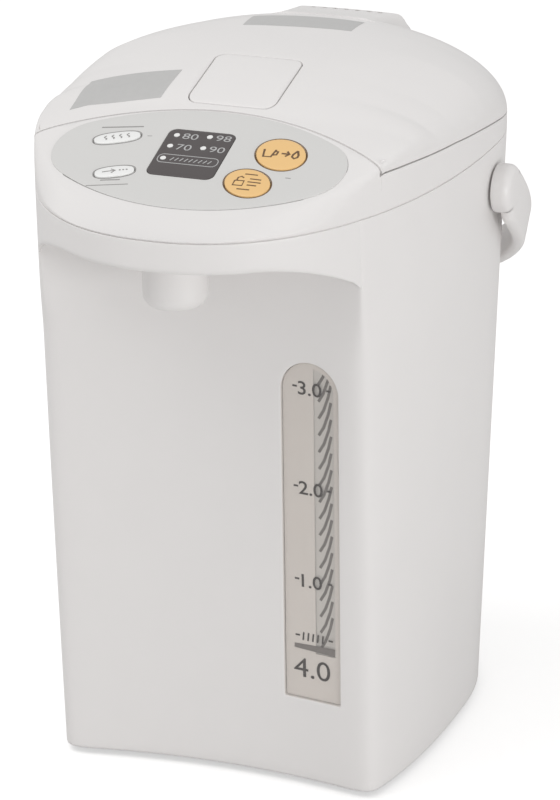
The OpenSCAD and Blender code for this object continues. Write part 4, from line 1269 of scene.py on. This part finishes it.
def behind(depth):
    return lambda x, z, w=0.0: gauge_place(x, z, w - depth)


def ticks(mid, z, place, skin):
    """A pair of marks, one at each side of the window."""
    for a, b in [(-9.6, -7.2), (8.2, 10.6)]:
        stroke([(mid + a, z), (mid + b, z)], 1.0, place, skin, lift=INK)


def gauge():
    """Window, printed mask with a slot over the hatched strip, numbers and hatching."""
    slab("gauge_cover", gauge_outline(-0.05), behind(0.1), "clear", roll=0.25, depth=1.4, step=5,
         stands_for=["gauge_window"])
    left, right, low, top = 1.2, 11.9, 73.0, 222.6
    strip = [(left, low), (right, low)]
    strip += arc(0, GAUGE_SPRING, right, 0, math.acos(left / right), 10)
    strip += [(left, z) for z in np.arange(top - 1, low + 2, -6.0)]
    strip = tidy_loop([(gauge_mid(z) + x, z) for x, z in strip])
    mask = behind(1.6)
    deep = behind(2.4)
    slab("gauge_mask", gauge_outline(-0.2), mask, "gauge_silver", holes=[strip], roll=0.1, depth=0.5, step=5,
         back=False)
    skin = Skin()
    for text, z in [("3.0", 212.4), ("2.0", 160.6), ("1.0", 111.4)]:
        lettering(text, 7.0, (gauge_mid(z) - 0.5, z), mask, skin, lift=INK, squeeze=1.12, bold=0.01)
        ticks(gauge_mid(z), z + 0.6, mask, skin)
    foot = gauge_mid(82)
    ticks(foot, 81.6, mask, skin)
    for k in range(5):
        x = foot - 5.6 + k * 2.6
        stroke([(x, 79.2), (x + 0.5, 83.6)], 0.9, mask, skin, lift=INK)
    lettering("4.0", 10.4, (gauge_mid(64) - 0.8, 64.2), mask, skin, lift=INK, squeeze=1.12)
    skin.build("gauge_numbers", "print_dark", sharp=60)
    skin = Skin()
    skin.patch(offset_loop(strip, 1.0), [], deep, 6.0)
    skin.build("gauge_ground", "silver_panel")
    skin = Skin()
    for k in range(17):
        z = 76 + k * 8.7
        line = [(3.6, 0), (6.3, 4.6), (8.9, 11.8), (10.4, 18.0)]
        stroke([(gauge_mid(z) + a, z + b) for a, b in line], 1.5, deep, skin, lift=0.1)
    skin.build("gauge_hatching", "print_hatch")
    # painted shade: a soft darker band across the foot of the window, laid just in front of the mask
    band = [(-10.2, 74.6), (11.7, 73.6), (11.7, 77.6), (-10.2, 77.0)]
    skin = Skin()
    skin.patch([(gauge_mid(z) + x, z) for x, z in band], [], behind(1.5), 4.0)
    skin.build("gauge_shade", "painted_shade_band")


# ---- handle

HUB_ROLL = 4.2
BAND_IN = 3.4
BAND_OUT = 10.1
BAND_THICK = 7.4


def bow(side, forward, square, t):
    r = (abs(math.sin(t) / side) ** square + abs(math.cos(t) / forward) ** square) ** (-1 / square)
    return r * math.sin(t), r * math.cos(t)


def handle():
    _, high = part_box("handle")
    half = TOP["half"]
    # the reach of the CAD grip, found from its rearmost point
    rearmost = high[1] * 1000 - PIVOT_Y - GRIP_HALF * math.sin(HANDLE_REST)
    reach = rearmost / math.cos(HANDLE_REST) - BAND_THICK - 0.1

    def place(x, along, across):
        """along runs from the pivots to the grip, across is the band's width."""
        return (x, PIVOT_Y + along * math.cos(HANDLE_REST) + across * math.sin(HANDLE_REST),
                PIVOT_Z - along * math.sin(HANDLE_REST) + across * math.cos(HANDLE_REST))

    skin = Skin()
    rows = []
    for k in range(141):
        t = math.radians(mix(-89.2, 89.2, k / 140))
        xi, yi = bow(half + BAND_IN, reach, BOW_POWER, t)
        xo, yo = bow(half + BAND_OUT, reach + BAND_THICK, BOW_POWER, t)
        thick = math.hypot(xo - xi, yo - yi)
        along = (yi + yo) / 2
        wide = mix(HUB_R - 0.2, GRIP_HALF, smooth(along / (0.8 * reach)))
        drop = ARM_DROP * smooth(along / 9) * (1 - smooth((along - 16) / 60))
        row = []
        for across, out in round_rect(0, 0, 2 * wide, thick, min(3.0, thick * 0.45), 6):
            across = across * (1 - 0.12 * max(out / thick, 0)) - (drop if across < 0 else 0)
            share = out / thick + 0.5
            row.append(place(mix(xi, xo, share), mix(yi, yo, share), across))
        rows.append(row)
    skin.grid(rows, closed=True)
    near = half + 0.5
    far = half + 5.9
    for s in (-1, 1):
        profile = [(6.1, near), (HUB_R - 0.8, near), (HUB_R - 0.2, near + 0.3), (HUB_R, near + 0.9)]
        profile.append((HUB_R, far))
        profile += [(HUB_R - HUB_ROLL * (1 - math.cos(a)), far + HUB_ROLL * math.sin(a))
                    for a in np.linspace(0.15, 1.5, 10)]
        profile += [(3.0, half + 10.15), (0.01, half + 10.2)]
        lathe(skin, profile, lambda a, b, h, s=s: (s * h, PIVOT_Y + a, PIVOT_Z + b))
    skin.build("bail_handle", "white_body", body="bail", stands_for=["handle"])


# ---- stage, light and camera

FLOOR = 6.0  # metres from the middle to each side
WHITE = (1, 1, 1, 1)


def stage():
    mesh = bpy.data.meshes.new("floor")
    mesh.from_pydata([(x * FLOOR, y * FLOOR, 0) for x, y in [(-1, -1), (1, -1), (1, 1), (-1, 1)]], [],
                     [(0, 1, 2, 3)])
    floor = bpy.data.objects.new("floor", mesh)
    bpy.context.scene.collection.objects.link(floor)
    mat = bpy.data.materials.new("floor")
    mat.use_nodes = True
    tree = mat.node_tree
    shader = preset(tree.nodes["Principled BSDF"], {"Base Color": (0.72, 0.715, 0.71, 1), "Roughness": 0.9,
                                                    "Specular IOR Level": 0.1, "Emission Color": WHITE})
    seen = add(tree, "LightPath")
    lift = add(tree, "Math")
    lift.operation = "MULTIPLY"
    lift.inputs[1].default_value = 0.5
    tree.links.new(seen.outputs["Is Camera Ray"], lift.inputs[0])
    tree.links.new(lift.outputs["Value"], shader.inputs["Emission Strength"])
    mesh.materials.append(mat)

    world = bpy.data.worlds.new("studio")
    bpy.context.scene.world = world
    world.use_nodes = True
    tree = world.node_tree
    link = tree.links.new
    ground = preset(tree.nodes["Background"], {"Color": WHITE, "Strength": 0.66})
    seen = add(tree, "Background", {"Color": WHITE, "Strength": 1.0})
    path = add(tree, "LightPath")
    either = add(tree, "Math")
    either.operation = "MAXIMUM"
    link(path.outputs["Is Camera Ray"], either.inputs[0])
    link(path.outputs["Is Transmission Ray"], either.inputs[1])
    blend = add(tree, "MixShader")
    link(either.outputs["Value"], blend.inputs["Fac"])
    link(ground.outputs["Background"], blend.inputs[1])
    link(seen.outputs["Background"], blend.inputs[2])
    link(blend.outputs["Shader"], tree.nodes["World Output"].inputs["Surface"])


def lamp(name, at, aim, size, watts):
    light = bpy.data.lights.new(name, "AREA")
    light.shape = "RECTANGLE"
    light.size = size[0]
    light.size_y = size[1]
    light.energy = watts
    obj = bpy.data.objects.new(name, light)
    bpy.context.scene.collection.objects.link(obj)
    obj.location = at
    obj.rotation_euler = (Vector(aim) - Vector(at)).to_track_quat("-Z", "Y").to_euler()


def camera():
    azimuth = math.radians(20.72)
    elevation = math.radians(20.72)
    roll = math.radians(-0.56)
    place = Vector((0.6324, -1.6835, 0.8417))
    forward = Vector((-math.sin(azimuth) * math.cos(elevation), math.cos(azimuth) * math.cos(elevation),
                      -math.sin(elevation)))
    right = Vector((math.cos(azimuth), math.sin(azimuth), 0))
    up = right.cross(forward)
    x = right * math.cos(roll) + up * math.sin(roll)
    y = up * math.cos(roll) - right * math.sin(roll)
    cam = bpy.data.cameras.new("camera")
    cam.lens = 171.05
    cam.sensor_width = 36.0
    cam.sensor_fit = "AUTO"
    obj = bpy.data.objects.new("camera", cam)
    bpy.context.scene.collection.objects.link(obj)
    pose = Matrix((x, y, -forward)).transposed().to_4x4()
    pose.translation = place
    obj.matrix_world = pose
    bpy.context.scene.camera = obj


body_moulding()
head_moulding()
seam_tongue()
control_panel()
button("dispense_cap", DISPENSE, "orange_button", "dispense", "dispense_button")
button("unlock_cap", UNLOCK, "orange_button", "unlock", "unlock_button")
button("boil_cap", BOIL, "white_button", "boil", "boil_button")
button("select_cap", SELECT, "white_button", "select", "select_button")
display()
panel_print()
button_marks()
lid_moulding()
lever()
hump()
foils()
spout()
gauge()
handle()

stage()
lamp("key", (-1.1, -0.7, 2.4), (0, 0, 0.2), (1.8, 1.8), 20)
lamp("fill", (2.1, -1.3, 0.2), (0, 0, 0.05), (1.6, 0.6), 18)
camera()
bpy.context.scene.view_settings.view_transform = "Standard"
